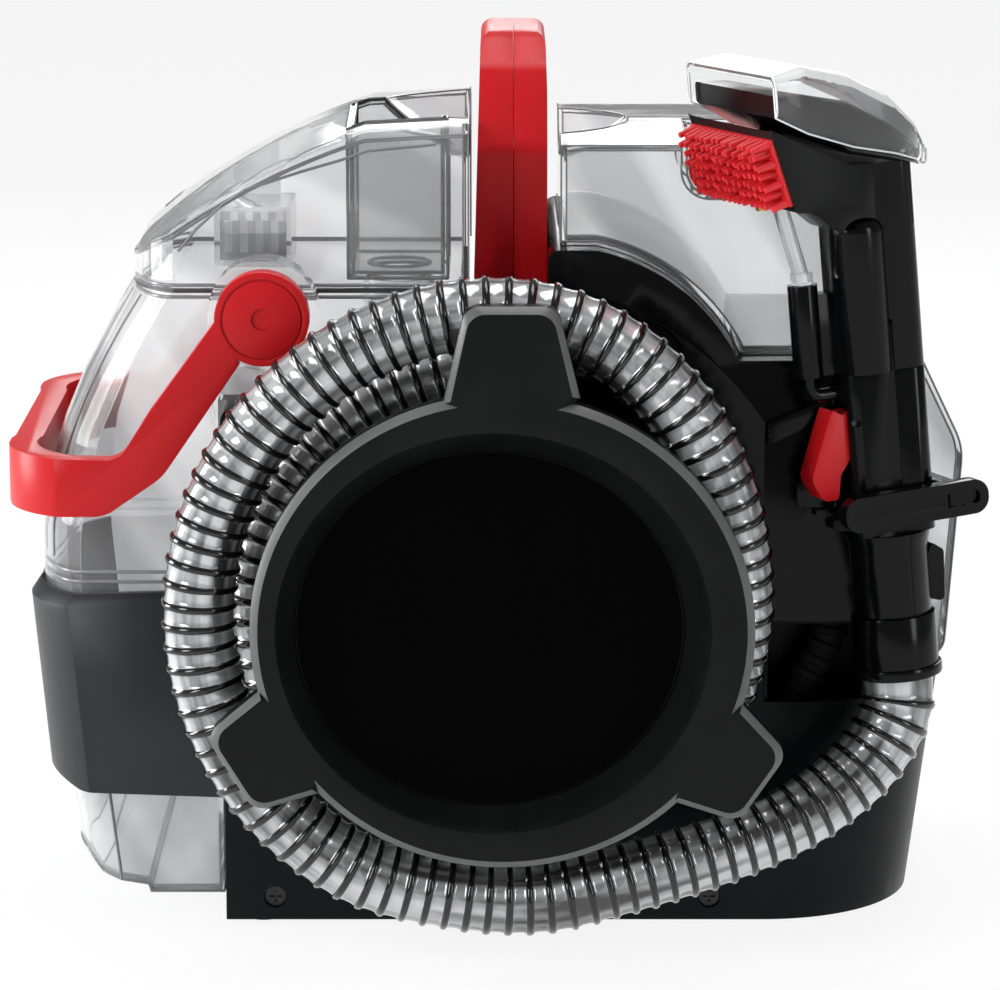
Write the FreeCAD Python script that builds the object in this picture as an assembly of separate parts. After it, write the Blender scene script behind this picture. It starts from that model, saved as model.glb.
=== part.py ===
import FreeCAD, Part
import math
import os
from FreeCAD import Placement, Rotation, Vector

# Portable spot extractor, in millimetres and degrees.
# X runs from the dirty tank to the clean tank, Y from the hose side to the back, Z up from the floor.

# Housing
front_y = -48.0
body_depth = 148.0
rear_y = front_y + body_depth
foot_height = 2.0
wall = 2.5
base_left = -106.0
base_right = 174.0
base_top = 96.0
base_taper = 12.0
base_front_corner = 60.0
base_rear_corner = 30.0
tower_left_top = 204.0
tower_right = 141.5
tower_shoulder = 222.0
tower_saddle = 264.0
saddle_end = 36.0
saddle_bend = (67.0, 250.0)
shoulder_start = 90.0
spine_left = -9.5
spine_right = 21.2
spine_front = -7.5
spine_depth = body_depth - 59.0
cover_thickness = 3.0
seam_gap = 0.3
running_gap = 0.05
foot_places = [(-92.0, -34.0), (-92.0, 86.0), (112.0, -26.0), (128.0, 82.0), (0.0, 0.0)]
foot_radius = 9.0
foot_chamfer = 0.6
screw_places = [(-87.0, 11.0), (81.0, 11.0)]
screw_head = 4.0
screw_shank = 2.0
screw_recess = 3.5

# Recess with the ribbed boot
recess_left = 101.0
recess_right = 139.0
recess_bottom = 72.0
recess_top = 121.0
recess_depth = 36.0
liner_wall = 1.6
boot_radius = 7.5
boot_rib_pitch = 6.4

# Hose and its storage hub
hub_x = 0.0
hub_z = 133.5
hose_radius = 14.4
hose_valley = 13.0
hose_bore = 11.6
hose_inner_layer_y = -66.5
hose_outer_layer_y = -96.0
hose_inner_turn = 88.5
hose_outer_turn_top = 115.0
hose_outer_turn_side = 111.6
hose_outer_turn_bottom = 109.9
hose_rib_pitch = 14.0
hose_plug_in = 22.0
plate_margin = 4.5
plate_thickness = 3.0
drum_half_width = 66.0
drum_half_height = 62.0
drum_wall = 3.0
flange_half_width = 92.5
flange_half_height = 89.0
flange_front_y = -122.0
flange_thickness = 10.0
flange_bevel = 3.0
dish_half_width = 79.8
dish_half_height = 75.2
dish_floor_half_width = 71.7
dish_floor_half_height = 66.8
dish_floor_y = -105.0
dish_wall = 2.5
dish_disc_thickness = 1.5
finger_outlines = [
    [(-20.6, 219.0), (-12.5, 254.6, 7), (20.7, 254.6, 7), (29.0, 221.0), (4.0, 200.0)],
    [(-88.3, 112.0), (-108.4, 95.0, 7), (-90.6, 66.0, 7), (-67.0, 73.0), (-62.0, 104.0)],
    [(88.9, 107.0), (105.9, 88.0, 7), (88.2, 62.0, 7), (63.6, 70.0), (60.0, 102.0)],
]
port_x = 54.0
port_outer = 15.2
port_inner = 12.0
port_bend = 18.0
port_socket = 24.0
port_wall = 2.0

# Suction duct inside the tower, from the hose's elbow to the pipe in the dirty tank
suction_radius = 10.0
suction_wall = 1.5
suction_flange = 15.0
suction_bend = 14.0
suction_z = 188.0

# Tanks
tank_wall = 2.0
tank_gap = 1.2
seat_gap = 0.5
dirty_front = -40.0
tank_rear_margin = 6.0
dirty_rear = rear_y - tank_rear_margin
dirty_left = -176.5
dirty_bottom = 11.0
dirty_seam = 246.5
dirty_shelf = tower_left_top + tank_gap
gasket_thickness = 1.6
lid_height = 67.0
lid_crown = dirty_seam + lid_height
lid_drop = 8.0
scoop_radius = 68.0
scoop_drop = 25.0
scoop_bottom = lid_crown - scoop_drop
scoop_y = 27.0
clean_front = -33.0
clean_rear = rear_y - tank_rear_margin
clean_right = 177.0
clean_bottom = 103.0
clean_crown = 304.8
clean_drop = 3.2
corner_width = 16.0
corner_depth = 45.0
side_lean = 37.0
side_foot = 14.0
duct_left = -58.0
duct_width = 38.0
duct_y = 8.0
duct_depth = 56.0
pipe_radius = 14.0
cage_x = -96.0
cage_y = 30.0
cage_width = 30.0
cage_depth = 40.0
float_height = 10.0
float_travel = 8.0

# Collar of the housing round the dirty tank
collar_left = -181.0
collar_bottom = 53.0
collar_top = 131.0
collar_taper = 7.0
collar_chamfer = 5.0

# Dirty tank bail
pivot_x = -88.8
pivot_drop = 5.8
pivot_z = dirty_seam - pivot_drop
bail_disc_radius = 17.7
bail_thickness = 9.0
bail_front = dirty_front - 26.0
bail_rear = dirty_rear + 26.0
bail_left = -186.4
bail_band_bottom = pivot_z - 75.2
bail_band_top = pivot_z - 53.6
bail_open_angle = 122.0
bail_pin_radius = 4.0
boss_radius = 21.0

# Fill cap in the clean tank
cap_left = 70.5
cap_width = 48.0
cap_floor = 283.0
cap_back = 24.6
cap_gap = 0.8
cap_thickness = 3.0
cap_hinge_z = 300.0
cap_pin_radius = 1.2
cap_barrel_radius = 3.0
fill_radius = 15.0
fill_y = -6.0

# Carry handle
grip_top = 340.6
grip_left = -8.0
grip_width = 26.0
grip_foot_extra = 1.6
grip_front = -22.0
grip_depth = body_depth - 30.0
grip_shoulder = 41.3
grip_bar = 19.0
finger_room = 24.6
handle_seam_x = 5.2

# Tool wand, in its own frame: local X towards the tank, local Y across the nozzle, local Z along the wand
wand_x = 150.6
wand_y = -64.0
wand_z = 105.0
wand_lean = 5.0
wand_turn = 21.0
cuff_radius = 17.2
cuff_length = 24.0
handle_radius = 14.8
grip_start = 56.0
grip_end = 118.0
grip_half_width = 16.0
grip_half_depth = 13.6
grip_corner = 5.0
wand_bore = 9.5
spigot_radius = 12.2
spigot_length = 18.0
tool_neck_top = 196.0
shaft_radius_out = 10.6
shaft_top = 177.0
trigger_half_width = 5.6
trigger_slot_gap = 0.5
trigger_pin_radius = 1.5
trigger_pivot_x = -13.9
trigger_pivot_z = 100.0
spring_radius = 2.6
spring_half = 2.0
mouth_x = -50.0
mouth_half_width = 40.0
window_wall = 1.8
brush_top = 217.0
brush_low = 185.5
bristle_rows = 5
bristles_per_row = 13
bristle_length = 9.5
brush_half_width = 37.0
bristle_radius = 1.3
side_tube_x = -27.5
side_tube_radius = 5.6
side_tube_top = 153.0
hood_sections = [(0.0, 40.0, 220.5, 236.0, 4.0), (13.0, 38.5, 212.0, 238.0, 6.0),
                 (33.0, 33.0, 203.0, 232.5, 8.0), (53.0, 26.0, 197.5, 221.5, 8.0),
                 (64.0, 20.0, 195.0, 210.5, 5.5), (70.0, 14.0, 193.5, 201.0, 3.0)]

# Motor, fan and pump
motor_x = -10.0
motor_y = (front_y + rear_y) / 2 - 1.0
motor_radius = 42.0
motor_base = 99.0
motor_height = 74.0
motor_wall = 1.5
stator_thickness = 14.0
rotor_core_radius = 25.0
shaft_radius = 4.0
bearing_radius = 11.0
bearing_height = 7.0
rubber_height = 4.0
can_holes = 4
fan_radius = 48.0
fan_blades = 7
fan_base = 66.0
volute_radius = 56.0
fan_eye = 20.0
volute_base = 60.0
plinth_radius = 50.0
pump_x = 112.0
pump_y = 40.0
pump_width = 40.0
pump_depth = 34.0
pump_height = 44.0
line_radius = 3.5
seat_x = 156.5
seat_y = 38.0
seat_radius = 11.0
valve_lift = 2.2

# Back of the machine
hook_x = 20.0
hook_reach = 15.0
hook_arm = 46.0
hook_radius = 6.0
lower_hook_z = 128.0
upper_hook_z = 204.0
switch_x = 96.0
switch_z = 190.0
switch_width = 15.0
switch_height = 21.0
switch_ear = 1.0
switch_tilt = 6.0
switch_pin = 1.0
gland_x = 60.0
gland_z = 40.0
gland_radius = 9.0
cord_bore = 4.0
vent_rows = 9
vent_pitch = 8.0
vent_width = 34.0
vent_slot = 3.2

# Values worked out from the sizes above
base_bottom = foot_height
port_z = hub_z + hose_inner_turn
plate_front = front_y - plate_thickness
plate_radius = hose_outer_turn_top + plate_margin
opening_front = front_y + 14.0
opening_rear = rear_y - 16.0
flange_back_y = flange_front_y + flange_thickness
lid_seat = dirty_seam + gasket_thickness
tank_right = base_left - tank_gap
upper_right = spine_left - tank_gap * 2
clean_left = spine_right + tank_gap * 1.6
leg_left = tower_right + tank_gap * 1.4
grip_right = grip_left + grip_width
grip_rear = grip_front + grip_depth
grip_knee = grip_top - grip_shoulder
spine_top = grip_top - grip_bar - finger_room
cap_right = cap_left + cap_width
cap_hinge_y = cap_back - 5.1
motor_top = motor_base + motor_height
pipe_x = duct_left + duct_width / 2
hood_table = [(mouth_x + x, half, low, high, corner) for x, half, low, high, corner in hood_sections]


def at_plane(plane, a, b, depth):
    """Point of an outline: a and b run in the plane, depth runs across it."""
    if plane == "xz":
        return Vector(a, depth, b)
    if plane == "yz":
        return Vector(depth, a, b)
    return Vector(a, b, depth)


def outline_wire(plane, points, depth):
    """Closed wire from corners (a, b) or (a, b, radius); ("via", a, b) bends the next side."""
    corners = [p for p in points if p[0] != "via"]
    bends = {}
    for index, point in enumerate(points):
        if point[0] == "via":
            before = len([p for p in points[:index] if p[0] != "via"]) - 1
            bends[before % len(corners)] = (point[1], point[2])
    count = len(corners)
    starts = []
    ends = []
    rounds = []
    for i, corner in enumerate(corners):
        here = Vector(corner[0], corner[1], 0)
        radius = corner[2] if len(corner) > 2 else 0.0
        if radius <= 0:
            starts.append(here)
            ends.append(here)
            rounds.append(None)
            continue
        back = Vector(*corners[i - 1][:2], 0) - here
        ahead = Vector(*corners[(i + 1) % count][:2], 0) - here
        back.normalize()
        ahead.normalize()
        half = back.getAngle(ahead) / 2
        reach = radius / math.tan(half)
        middle = back + ahead
        middle.normalize()
        starts.append(here + back * reach)
        ends.append(here + ahead * reach)
        rounds.append(here + middle * (radius / math.sin(half) - radius))
    edges = []
    for i in range(count):
        following = (i + 1) % count
        if rounds[i] is not None:
            arc = [at_plane(plane, v.x, v.y, depth) for v in (starts[i], rounds[i], ends[i])]
            edges.append(Part.Arc(*arc).toShape())
        first = at_plane(plane, ends[i].x, ends[i].y, depth)
        last = at_plane(plane, starts[following].x, starts[following].y, depth)
        if i in bends:
            edges.append(Part.Arc(first, at_plane(plane, *bends[i], depth), last).toShape())
        elif (last - first).Length > 1e-6:
            edges.append(Part.LineSegment(first, last).toShape())
    return Part.Wire(edges)


def slab(plane, points, low, high):
    """Outline extruded across its plane from low to high."""
    face = Part.Face(outline_wire(plane, points, low))
    return face.extrude(at_plane(plane, 0, 0, high - low))


def block(x0, x1, y0, y1, z0, z1):
    return Part.makeBox(x1 - x0, y1 - y0, z1 - z0, Vector(x0, y0, z0))


def rod(start, direction, radius, length):
    return Part.makeCylinder(radius, length, start, direction)


def tube(start, direction, outer, inner, length):
    return rod(start, direction, outer, length).cut(rod(start, direction, inner, length))


def ellipse_wire(centre_x, centre_z, half_width, half_height, depth):
    """Upright ellipse facing the hose side."""
    middle = Vector(centre_x, depth, centre_z)
    wide = Vector(centre_x + half_width, depth, centre_z)
    high = Vector(centre_x, depth, centre_z + half_height)
    if half_width > half_height:
        curve = Part.Ellipse(wide, high, middle)
    else:
        curve = Part.Ellipse(high, wide, middle)
    return Part.Wire(curve.toShape())


def ellipse_disc(centre_x, centre_z, half_width, half_height, low, high):
    face = Part.Face(ellipse_wire(centre_x, centre_z, half_width, half_height, low))
    return face.extrude(Vector(0, high - low, 0))


def steady_circle(centre, along, radius):
    """Circle square to a path, with its seam kept towards the Y axis."""
    direction = Vector(along).normalize()
    side = Vector(0, 1, 0)
    side = side - direction * side.dot(direction)
    circle = Part.Circle()
    circle.Center = centre
    circle.Axis = direction
    circle.Radius = radius
    circle.XAxis = side.normalize()
    return Part.Wire(circle.toShape())


def smooth(t):
    t = max(0.0, min(1.0, t))
    return t * t * (3 - 2 * t)


def eased(pairs, value):
    """Smooth step between (position, size) pairs."""
    for (p0, s0), (p1, s1) in zip(pairs, pairs[1:]):
        if value <= p1:
            return s0 + (s1 - s0) * smooth((value - p0) / (p1 - p0))
    return pairs[-1][1]


def save(name, shape):
    shape.exportStep("parts/" + name + ".step")
    print(name, len(shape.Solids), round(shape.Volume, 1), shape.isValid())


# Housing

def base_plan(inset, taper):
    return [(base_left + inset, front_y + inset),
            (base_right - taper - inset, front_y + inset, base_front_corner - inset),
            (base_right - taper - inset, rear_y - inset, base_rear_corner - inset),
            (base_left + inset, rear_y - inset)]


def base_shell(inset, low, high):
    """Tapered body between two heights of the base."""
    span = base_top - base_bottom
    wires = []
    for z in (low, high):
        taper = base_taper * (base_top - z) / span
        wires.append(outline_wire("xy", base_plan(inset, taper), z))
    return Part.makeLoft(wires, True, True)


def base_housing():
    body = base_shell(0, base_bottom, base_top)
    body = body.cut(base_shell(wall, base_bottom - 1, base_top - wall))
    opening = block(-92, 88, opening_front, opening_rear, base_top - wall * 2, base_top + 1)
    body = body.cut(opening)
    for x, z in screw_places:
        boss = rod(Vector(x, front_y, z), Vector(0, 1, 0), screw_head + 2.5, 12)
        body = body.fuse(boss)
        body = body.cut(rod(Vector(x, front_y - 1, z), Vector(0, 1, 0), screw_head + seam_gap, screw_recess + 1))
        body = body.cut(rod(Vector(x, front_y, z), Vector(0, 1, 0), screw_shank + running_gap, 14))
    recess = block(recess_left, recess_right, front_y - 1, front_y + recess_depth, recess_bottom, base_top + 1)
    lip = base_shell(0, recess_bottom, base_top).cut(base_shell(wall, recess_bottom - 1, base_top + 1))
    lip = lip.common(block(recess_left - 1, recess_right + 1, front_y - 1, front_y + recess_depth,
                           recess_bottom, base_top - 7))
    body = body.cut(recess).fuse(lip)
    seat = rod(Vector(seat_x, seat_y, base_top - wall - 1), Vector(0, 0, 1), seat_radius - 1.5, wall + 2)
    body = body.cut(seat)
    gland = rod(Vector(gland_x, rear_y - wall - 1, gland_z), Vector(0, 1, 0), gland_radius - 2.5, wall + 2)
    return body.cut(gland).removeSplitter()


def base_pan():
    """Bottom plate with a plinth that carries the fan housing."""
    floor = base_shell(wall + seam_gap, base_bottom, base_bottom + wall)
    low = base_bottom + wall
    plinth = tube(Vector(motor_x, motor_y, low), Vector(0, 0, 1), plinth_radius, plinth_radius - 2.5,
                  volute_base - low)
    for turn in range(0, 180, 45):
        slot = block(-plinth_radius - 1, plinth_radius + 1, -9, 9, 14, 46)
        slot.rotate(Vector(0, 0, 0), Vector(0, 0, 1), turn)
        slot.translate(Vector(motor_x, motor_y, 0))
        plinth = plinth.cut(slot)
    return floor.fuse(plinth)


def rubber_feet():
    feet = []
    for x, y in foot_places:
        foot = rod(Vector(x, y, 0), Vector(0, 0, 1), foot_radius, foot_height)
        bottom_edge = [e for e in foot.Edges if abs(e.CenterOfMass.z) < 0.01]
        feet.append(foot.makeChamfer(foot_chamfer, bottom_edge))
    return Part.makeCompound(feet)


def tower_outline(inset):
    return [(base_left + inset, base_top + inset),
            (base_left + inset, tower_left_top - inset, 6),
            (spine_right - 3 + inset, tower_left_top - inset),
            (spine_right - 3 + inset, tower_saddle - inset, 4),
            (saddle_end - inset * 0.2, tower_saddle - inset),
            ("via", saddle_bend[0] - inset * 0.6, saddle_bend[1] - inset * 0.8),
            (shoulder_start - inset * 0.8, tower_shoulder - inset),
            (tower_right - inset, tower_shoulder - inset, 6),
            (tower_right - inset, base_top + inset)]


def tower_housing():
    """Motor tower with an open back and a recess for the boot."""
    back = rear_y - cover_thickness
    body = slab("xz", tower_outline(0), front_y, back)
    hollow = slab("xz", tower_outline(wall), front_y + wall, back + 1)
    body = body.cut(hollow)
    below = block(-92, 88, opening_front, opening_rear, base_top - 1, base_top + wall + 1)
    body = body.cut(below)
    body = body.cut(block(recess_left, recess_right, front_y - 1, front_y + recess_depth,
                          base_top - 1, recess_top))
    port_hole = rod(Vector(port_x, front_y - 1, port_z), Vector(0, 1, 0), port_inner, wall + 2)
    tank_hole = rod(Vector(pipe_x, duct_y, tower_left_top - wall - 1), Vector(0, 0, 1), pipe_radius - tank_wall,
                    wall + 2)
    return body.cut(port_hole).cut(tank_hole).fuse(handle_spine())


def suction_line(radius, extra):
    """Run of the duct: back from the elbow, down, across over the motor and up to the tank's pipe."""
    front = front_y + wall - extra
    top = tower_left_top - wall + extra
    points = [Vector(port_x, front, port_z), Vector(port_x, duct_y, port_z), Vector(port_x, duct_y, suction_z),
              Vector(pipe_x, duct_y, suction_z)]
    across = bent_line(points, suction_bend, radius)
    up = rod(Vector(pipe_x, duct_y, suction_z), Vector(0, 0, 1), radius, top - suction_z)
    return across.fuse(Part.makeSphere(radius, Vector(pipe_x, duct_y, suction_z))).fuse(up)


def suction_duct():
    """Duct with a flange on the tower's front wall and one under its roof."""
    thick = suction_wall * 2
    front = rod(Vector(port_x, front_y + wall, port_z), Vector(0, 1, 0), suction_flange, thick)
    top = rod(Vector(pipe_x, duct_y, tower_left_top - wall - thick), Vector(0, 0, 1), suction_flange, thick)
    body = suction_line(suction_radius, 0).fuse(front).fuse(top)
    return body.cut(suction_line(suction_radius - suction_wall, 1.0))


def handle_spine():
    """Narrow upright between the two tanks that the carry handle is bolted to."""
    back = spine_front + spine_depth
    side = [(spine_front, tower_left_top), (spine_front, spine_top, 8), (back, spine_top, 8),
            (back, tower_left_top)]
    body = slab("yz", side, spine_left - 5, spine_right + 5)
    return body.common(slab("xz", [(spine_left, tower_left_top), (spine_left + 1.5, spine_top, 3),
                                   (spine_right - 3.3, spine_top, 3), (spine_right - 3.3, tower_left_top)],
                            spine_front - 1, back + 1))


def tank_collar():
    """Band of the housing that the dirty tank drops into, open above and below."""
    wires = []
    for z, shift in ((collar_bottom - 2, collar_taper), (collar_top - collar_chamfer, 0.0),
                     (collar_top + 2, collar_chamfer)):
        reach = max(0.0, z - collar_top)
        wires.append(outline_wire("xy", collar_plan(collar_left + shift, reach), z))
    band = Part.makeLoft(wires, True, True)
    band = band.common(slab("xz", [(base_left, collar_bottom - 2), (base_left, collar_top + 1),
                                   (collar_left - 5, collar_top - 1), (collar_left - 5, collar_bottom + 9),
                                   (collar_left + collar_taper + 12, collar_bottom, 9)], front_y - 1, rear_y + 1))
    room = bucket_form(-tank_gap, dirty_seam)
    column = block(tank_right - 10, base_left + 1, dirty_front - tank_gap, dirty_rear + tank_gap,
                   collar_bottom - 5, collar_top + 10)
    return band.cut(room).cut(column)


def collar_plan(left, inset):
    """Plan of the collar at one height, with long rounded corners like the tank's."""
    f = front_y + inset * 2
    r = rear_y - inset * 2
    return [(base_left, f), (base_left, r), (left + corner_width, r),
            ("via", left + corner_width * 0.29, r - corner_depth * 0.29), (left, r - corner_depth),
            (left, f + corner_depth), ("via", left + corner_width * 0.29, f + corner_depth * 0.29),
            (left + corner_width, f)]


def rear_cover():
    """Back panel of the tower with exhaust slots."""
    back = rear_y - cover_thickness
    panel = slab("xz", tower_outline(seam_gap), back, rear_y)
    slots = []
    for row in range(vent_rows):
        z = base_top + 22 + row * vent_pitch
        for column in range(2):
            x = -88 + column * (vent_width + 8)
            slots.append(block(x, x + vent_width, back - 1, rear_y + 1, z, z + vent_slot))
    panel = panel.cut(Part.makeCompound(slots))
    side = switch_width / 2 + switch_ear + seam_gap
    high = switch_height / 2 + seam_gap
    panel = panel.cut(block(switch_x - side, switch_x + side, back - 1, rear_y + 1, switch_z - high,
                            switch_z + high))
    return panel.fuse(cord_hook(lower_hook_z, False))


def recess_liner():
    """Grey moulding that lines the recess, open at the front."""
    gap = seam_gap
    depth = front_y + recess_depth
    outer = block(recess_left + gap, recess_right - gap, front_y + wall + gap, depth - gap,
                  recess_bottom + gap, recess_top - gap)
    inner = block(recess_left + liner_wall, recess_right - liner_wall, front_y - 1, depth - liner_wall,
                  recess_bottom + liner_wall, recess_top - liner_wall)
    curved_wall = block(recess_left, base_right, front_y - 1, depth, recess_bottom, base_top + gap)
    curved_wall = curved_wall.cut(base_shell(wall + gap, recess_bottom - 1, base_top + 1))
    return outer.cut(inner).cut(curved_wall)


def housing_screws():
    """Front screws with cross recesses, and the four under the base."""
    screws = []
    for x, z in screw_places:
        head_y = front_y + screw_recess
        head = rod(Vector(x, head_y - 1.8, z), Vector(0, 1, 0), screw_head, 1.8)
        shank = rod(Vector(x, head_y, z), Vector(0, 1, 0), screw_shank, 8)
        cross = block(x - 2.4, x + 2.4, head_y - 2.8, head_y - 0.8, z - 0.5, z + 0.5)
        cross = cross.fuse(block(x - 0.5, x + 0.5, head_y - 2.8, head_y - 0.8, z - 2.4, z + 2.4))
        screws.append(head.fuse(shank).cut(cross))
    return Part.makeCompound(screws)


# Hose storage hub

def hose_plate():
    """Round plate on the tower behind the wound hose, with a raised rim."""
    disc = rod(Vector(hub_x, plate_front, hub_z), Vector(0, 1, 0), plate_radius, plate_thickness)
    rim = tube(Vector(hub_x, plate_front - 1.4, hub_z), Vector(0, 1, 0), plate_radius, plate_radius - 2.2, 1.4)
    window = block(base_left, recess_left - 1, plate_front - 2, front_y, base_top + 1, hub_z + plate_radius + 1)
    keep = disc.fuse(rim).common(window)
    boss = rod(Vector(pivot_x, plate_front - 3, pivot_z), Vector(0, 1, 0), boss_radius + tank_gap, 8)
    port = rod(Vector(port_x, plate_front - 3, port_z), Vector(0, 1, 0), port_outer + seam_gap, 8)
    reach = port_outer + seam_gap
    bend = block(port_x - port_bend, port_x, plate_front - 3, front_y + 1, port_z - reach, port_z + reach)
    return keep.cut(port).cut(bend).cut(boss)


def hub_drum():
    start = dish_floor_y + dish_wall
    outer = ellipse_disc(hub_x, hub_z, drum_half_width, drum_half_height, start, plate_front)
    inner = ellipse_disc(hub_x, hub_z, drum_half_width - drum_wall, drum_half_height - drum_wall,
                         start - 1, plate_front + 1)
    return outer.cut(inner)


def inset_finger(points, inset):
    """Finger outline drawn in towards its own middle."""
    middle_x = sum(p[0] for p in points) / len(points)
    middle_z = sum(p[1] for p in points) / len(points)
    drawn = []
    for point in points:
        away = Vector(point[0] - middle_x, point[1] - middle_z, 0)
        scale = 1 - inset / away.Length
        moved = (middle_x + away.x * scale, middle_z + away.y * scale)
        drawn.append(moved + tuple(p for p in point[2:]))
    return drawn


def bevelled_finger(points):
    shoulder = flange_front_y + flange_bevel
    plain = slab("xz", points, shoulder, flange_back_y)
    top = outline_wire("xz", inset_finger(points, flange_bevel), flange_front_y)
    low = outline_wire("xz", points, shoulder)
    return plain.fuse(Part.makeLoft([low, top], True, True))


def hub_face():
    """Flange with three fingers that hold the hose on, and a deep dish in the middle."""
    shoulder = flange_front_y + flange_bevel
    body = ellipse_disc(hub_x + 0.9, hub_z, flange_half_width, flange_half_height, shoulder, flange_back_y)
    low = ellipse_wire(hub_x + 0.9, hub_z, flange_half_width, flange_half_height, shoulder)
    top = ellipse_wire(hub_x + 0.9, hub_z, flange_half_width - flange_bevel, flange_half_height - flange_bevel,
                       flange_front_y)
    body = body.fuse(Part.makeLoft([low, top], True, True))
    for points in finger_outlines:
        body = body.fuse(bevelled_finger(points))
    slope = (dish_half_width - dish_floor_half_width) / (dish_floor_y - flange_front_y)
    ring_x = hub_x - 2.4
    floor_x = hub_x - 3.9
    floor_z = hub_z - 1.8
    back = dish_floor_y + dish_wall
    outer_top = ellipse_wire(ring_x, hub_z, dish_half_width + dish_wall, dish_half_height + dish_wall,
                             shoulder)
    outer_low = ellipse_wire(floor_x, floor_z, dish_floor_half_width + dish_wall - slope,
                             dish_floor_half_height + dish_wall - slope, back)
    body = body.fuse(Part.makeLoft([outer_top, outer_low], True, True))
    rise = 0.05
    mouth = ellipse_wire(ring_x, hub_z, dish_half_width + slope * rise, dish_half_height + slope * rise,
                         flange_front_y - rise)
    floor = ellipse_wire(floor_x, floor_z, dish_floor_half_width, dish_floor_half_height, dish_floor_y)
    return body.cut(Part.makeLoft([mouth, floor], True, True))


def hub_dish():
    """Glossy disc on the floor of the dish."""
    gap = 0.6
    return ellipse_disc(hub_x - 3.9, hub_z - 1.8, dish_floor_half_width - gap, dish_floor_half_height - gap,
                        dish_floor_y - dish_disc_thickness, dish_floor_y)


# Hose

def hose_port():
    """Elbow from the tower wall that the hose plugs into."""
    centre_y = hose_inner_layer_y
    bend_end_x = port_x - port_bend
    turn_centre = Vector(bend_end_x, centre_y + port_bend, port_z)
    solids = []
    for radius in (port_outer, port_inner):
        ring = Part.Face(Part.Wire(Part.Circle(Vector(bend_end_x, centre_y, port_z), Vector(1, 0, 0),
                                               radius).toShape()))
        bend = ring.revolve(turn_centre, Vector(0, 0, 1), 90)
        stub_length = front_y - (centre_y + port_bend)
        solids.append(bend if abs(stub_length) < 0.01 else bend.fuse(
            rod(Vector(port_x, centre_y + port_bend, port_z), Vector(0, 1, 0), radius, stub_length)))
    socket = tube(Vector(bend_end_x - port_socket, centre_y, port_z), Vector(1, 0, 0),
                  hose_valley + port_wall + 0.2, hose_valley + 0.2, port_socket)
    return solids[0].cut(solids[1]).fuse(socket)


def wand_place(shape):
    """Move a piece from the wand's own frame to the machine."""
    moved = shape.copy()
    moved.rotate(Vector(0, 0, 0), Vector(0, 0, 1), wand_turn)
    moved.rotate(Vector(0, 0, 0), Vector(0, 1, 0), -wand_lean)
    moved.translate(Vector(wand_x, wand_y, wand_z))
    return moved


def hose_route():
    """Points along the hose from the port, round the hub and up into the cuff."""
    points = []
    straight_end = hub_x + 2.0
    straight_start = port_x - port_bend - 2.0
    steps = 40
    for i in range(steps):
        points.append(Vector(straight_start + (straight_end - straight_start) * i / steps,
                             hose_inner_layer_y, hub_z + hose_inner_turn))
    turn_sizes = [(90, hose_inner_turn), (365, hose_inner_turn), (450, hose_outer_turn_top),
                  (540, hose_outer_turn_side), (622, hose_outer_turn_bottom)]
    layers = [(90, hose_inner_layer_y), (295, hose_inner_layer_y), (415, hose_outer_layer_y)]
    last_turn = 622
    for angle in range(90, last_turn + 1):
        turn = math.radians(angle)
        radius = eased(turn_sizes, angle)
        points.append(Vector(straight_end * (1 - smooth((angle - 90) / 90.0)) + radius * math.cos(turn),
                             eased(layers, angle), hub_z + radius * math.sin(turn)))
    leave = points[-1]
    leave_way = (points[-1] - points[-2]).normalize()
    lean = math.radians(wand_lean)
    up = Vector(-math.sin(lean), 0, math.cos(lean))
    mouth = Vector(wand_x, wand_y, wand_z) - up * 1.0
    reach = (mouth - leave).Length
    first = leave + leave_way * (reach * 0.48)
    second = mouth - up * (reach * 0.30)
    for i in range(1, 200):
        t = i / 200.0
        points.append(leave * (1 - t) ** 3 + first * (3 * t * (1 - t) ** 2)
                      + second * (3 * t * t * (1 - t)) + mouth * t ** 3)
    for i in range(steps + 1):
        points.append(mouth + up * (hose_plug_in * i / steps))
    return points


def path_reader(points):
    """Length of a path, and a function that gives its place and direction at a distance."""
    marks = [0.0]
    for before, after in zip(points, points[1:]):
        marks.append(marks[-1] + (after - before).Length)
    directions = []
    last = len(points) - 1
    for i in range(len(points)):
        directions.append((points[min(i + 1, last)] - points[max(i - 1, 0)]).normalize())

    def read(distance):
        low = 0
        high = last
        while high - low > 1:
            middle = (low + high) // 2
            if marks[middle] <= distance:
                low = middle
            else:
                high = middle
        share = (distance - marks[low]) / (marks[high] - marks[low])
        share = max(0.0, min(1.0, share))
        place = points[low] * (1 - share) + points[high] * share
        direction = directions[low] * (1 - share) + directions[high] * share
        return place, direction.normalize()

    return marks[-1], read


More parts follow.
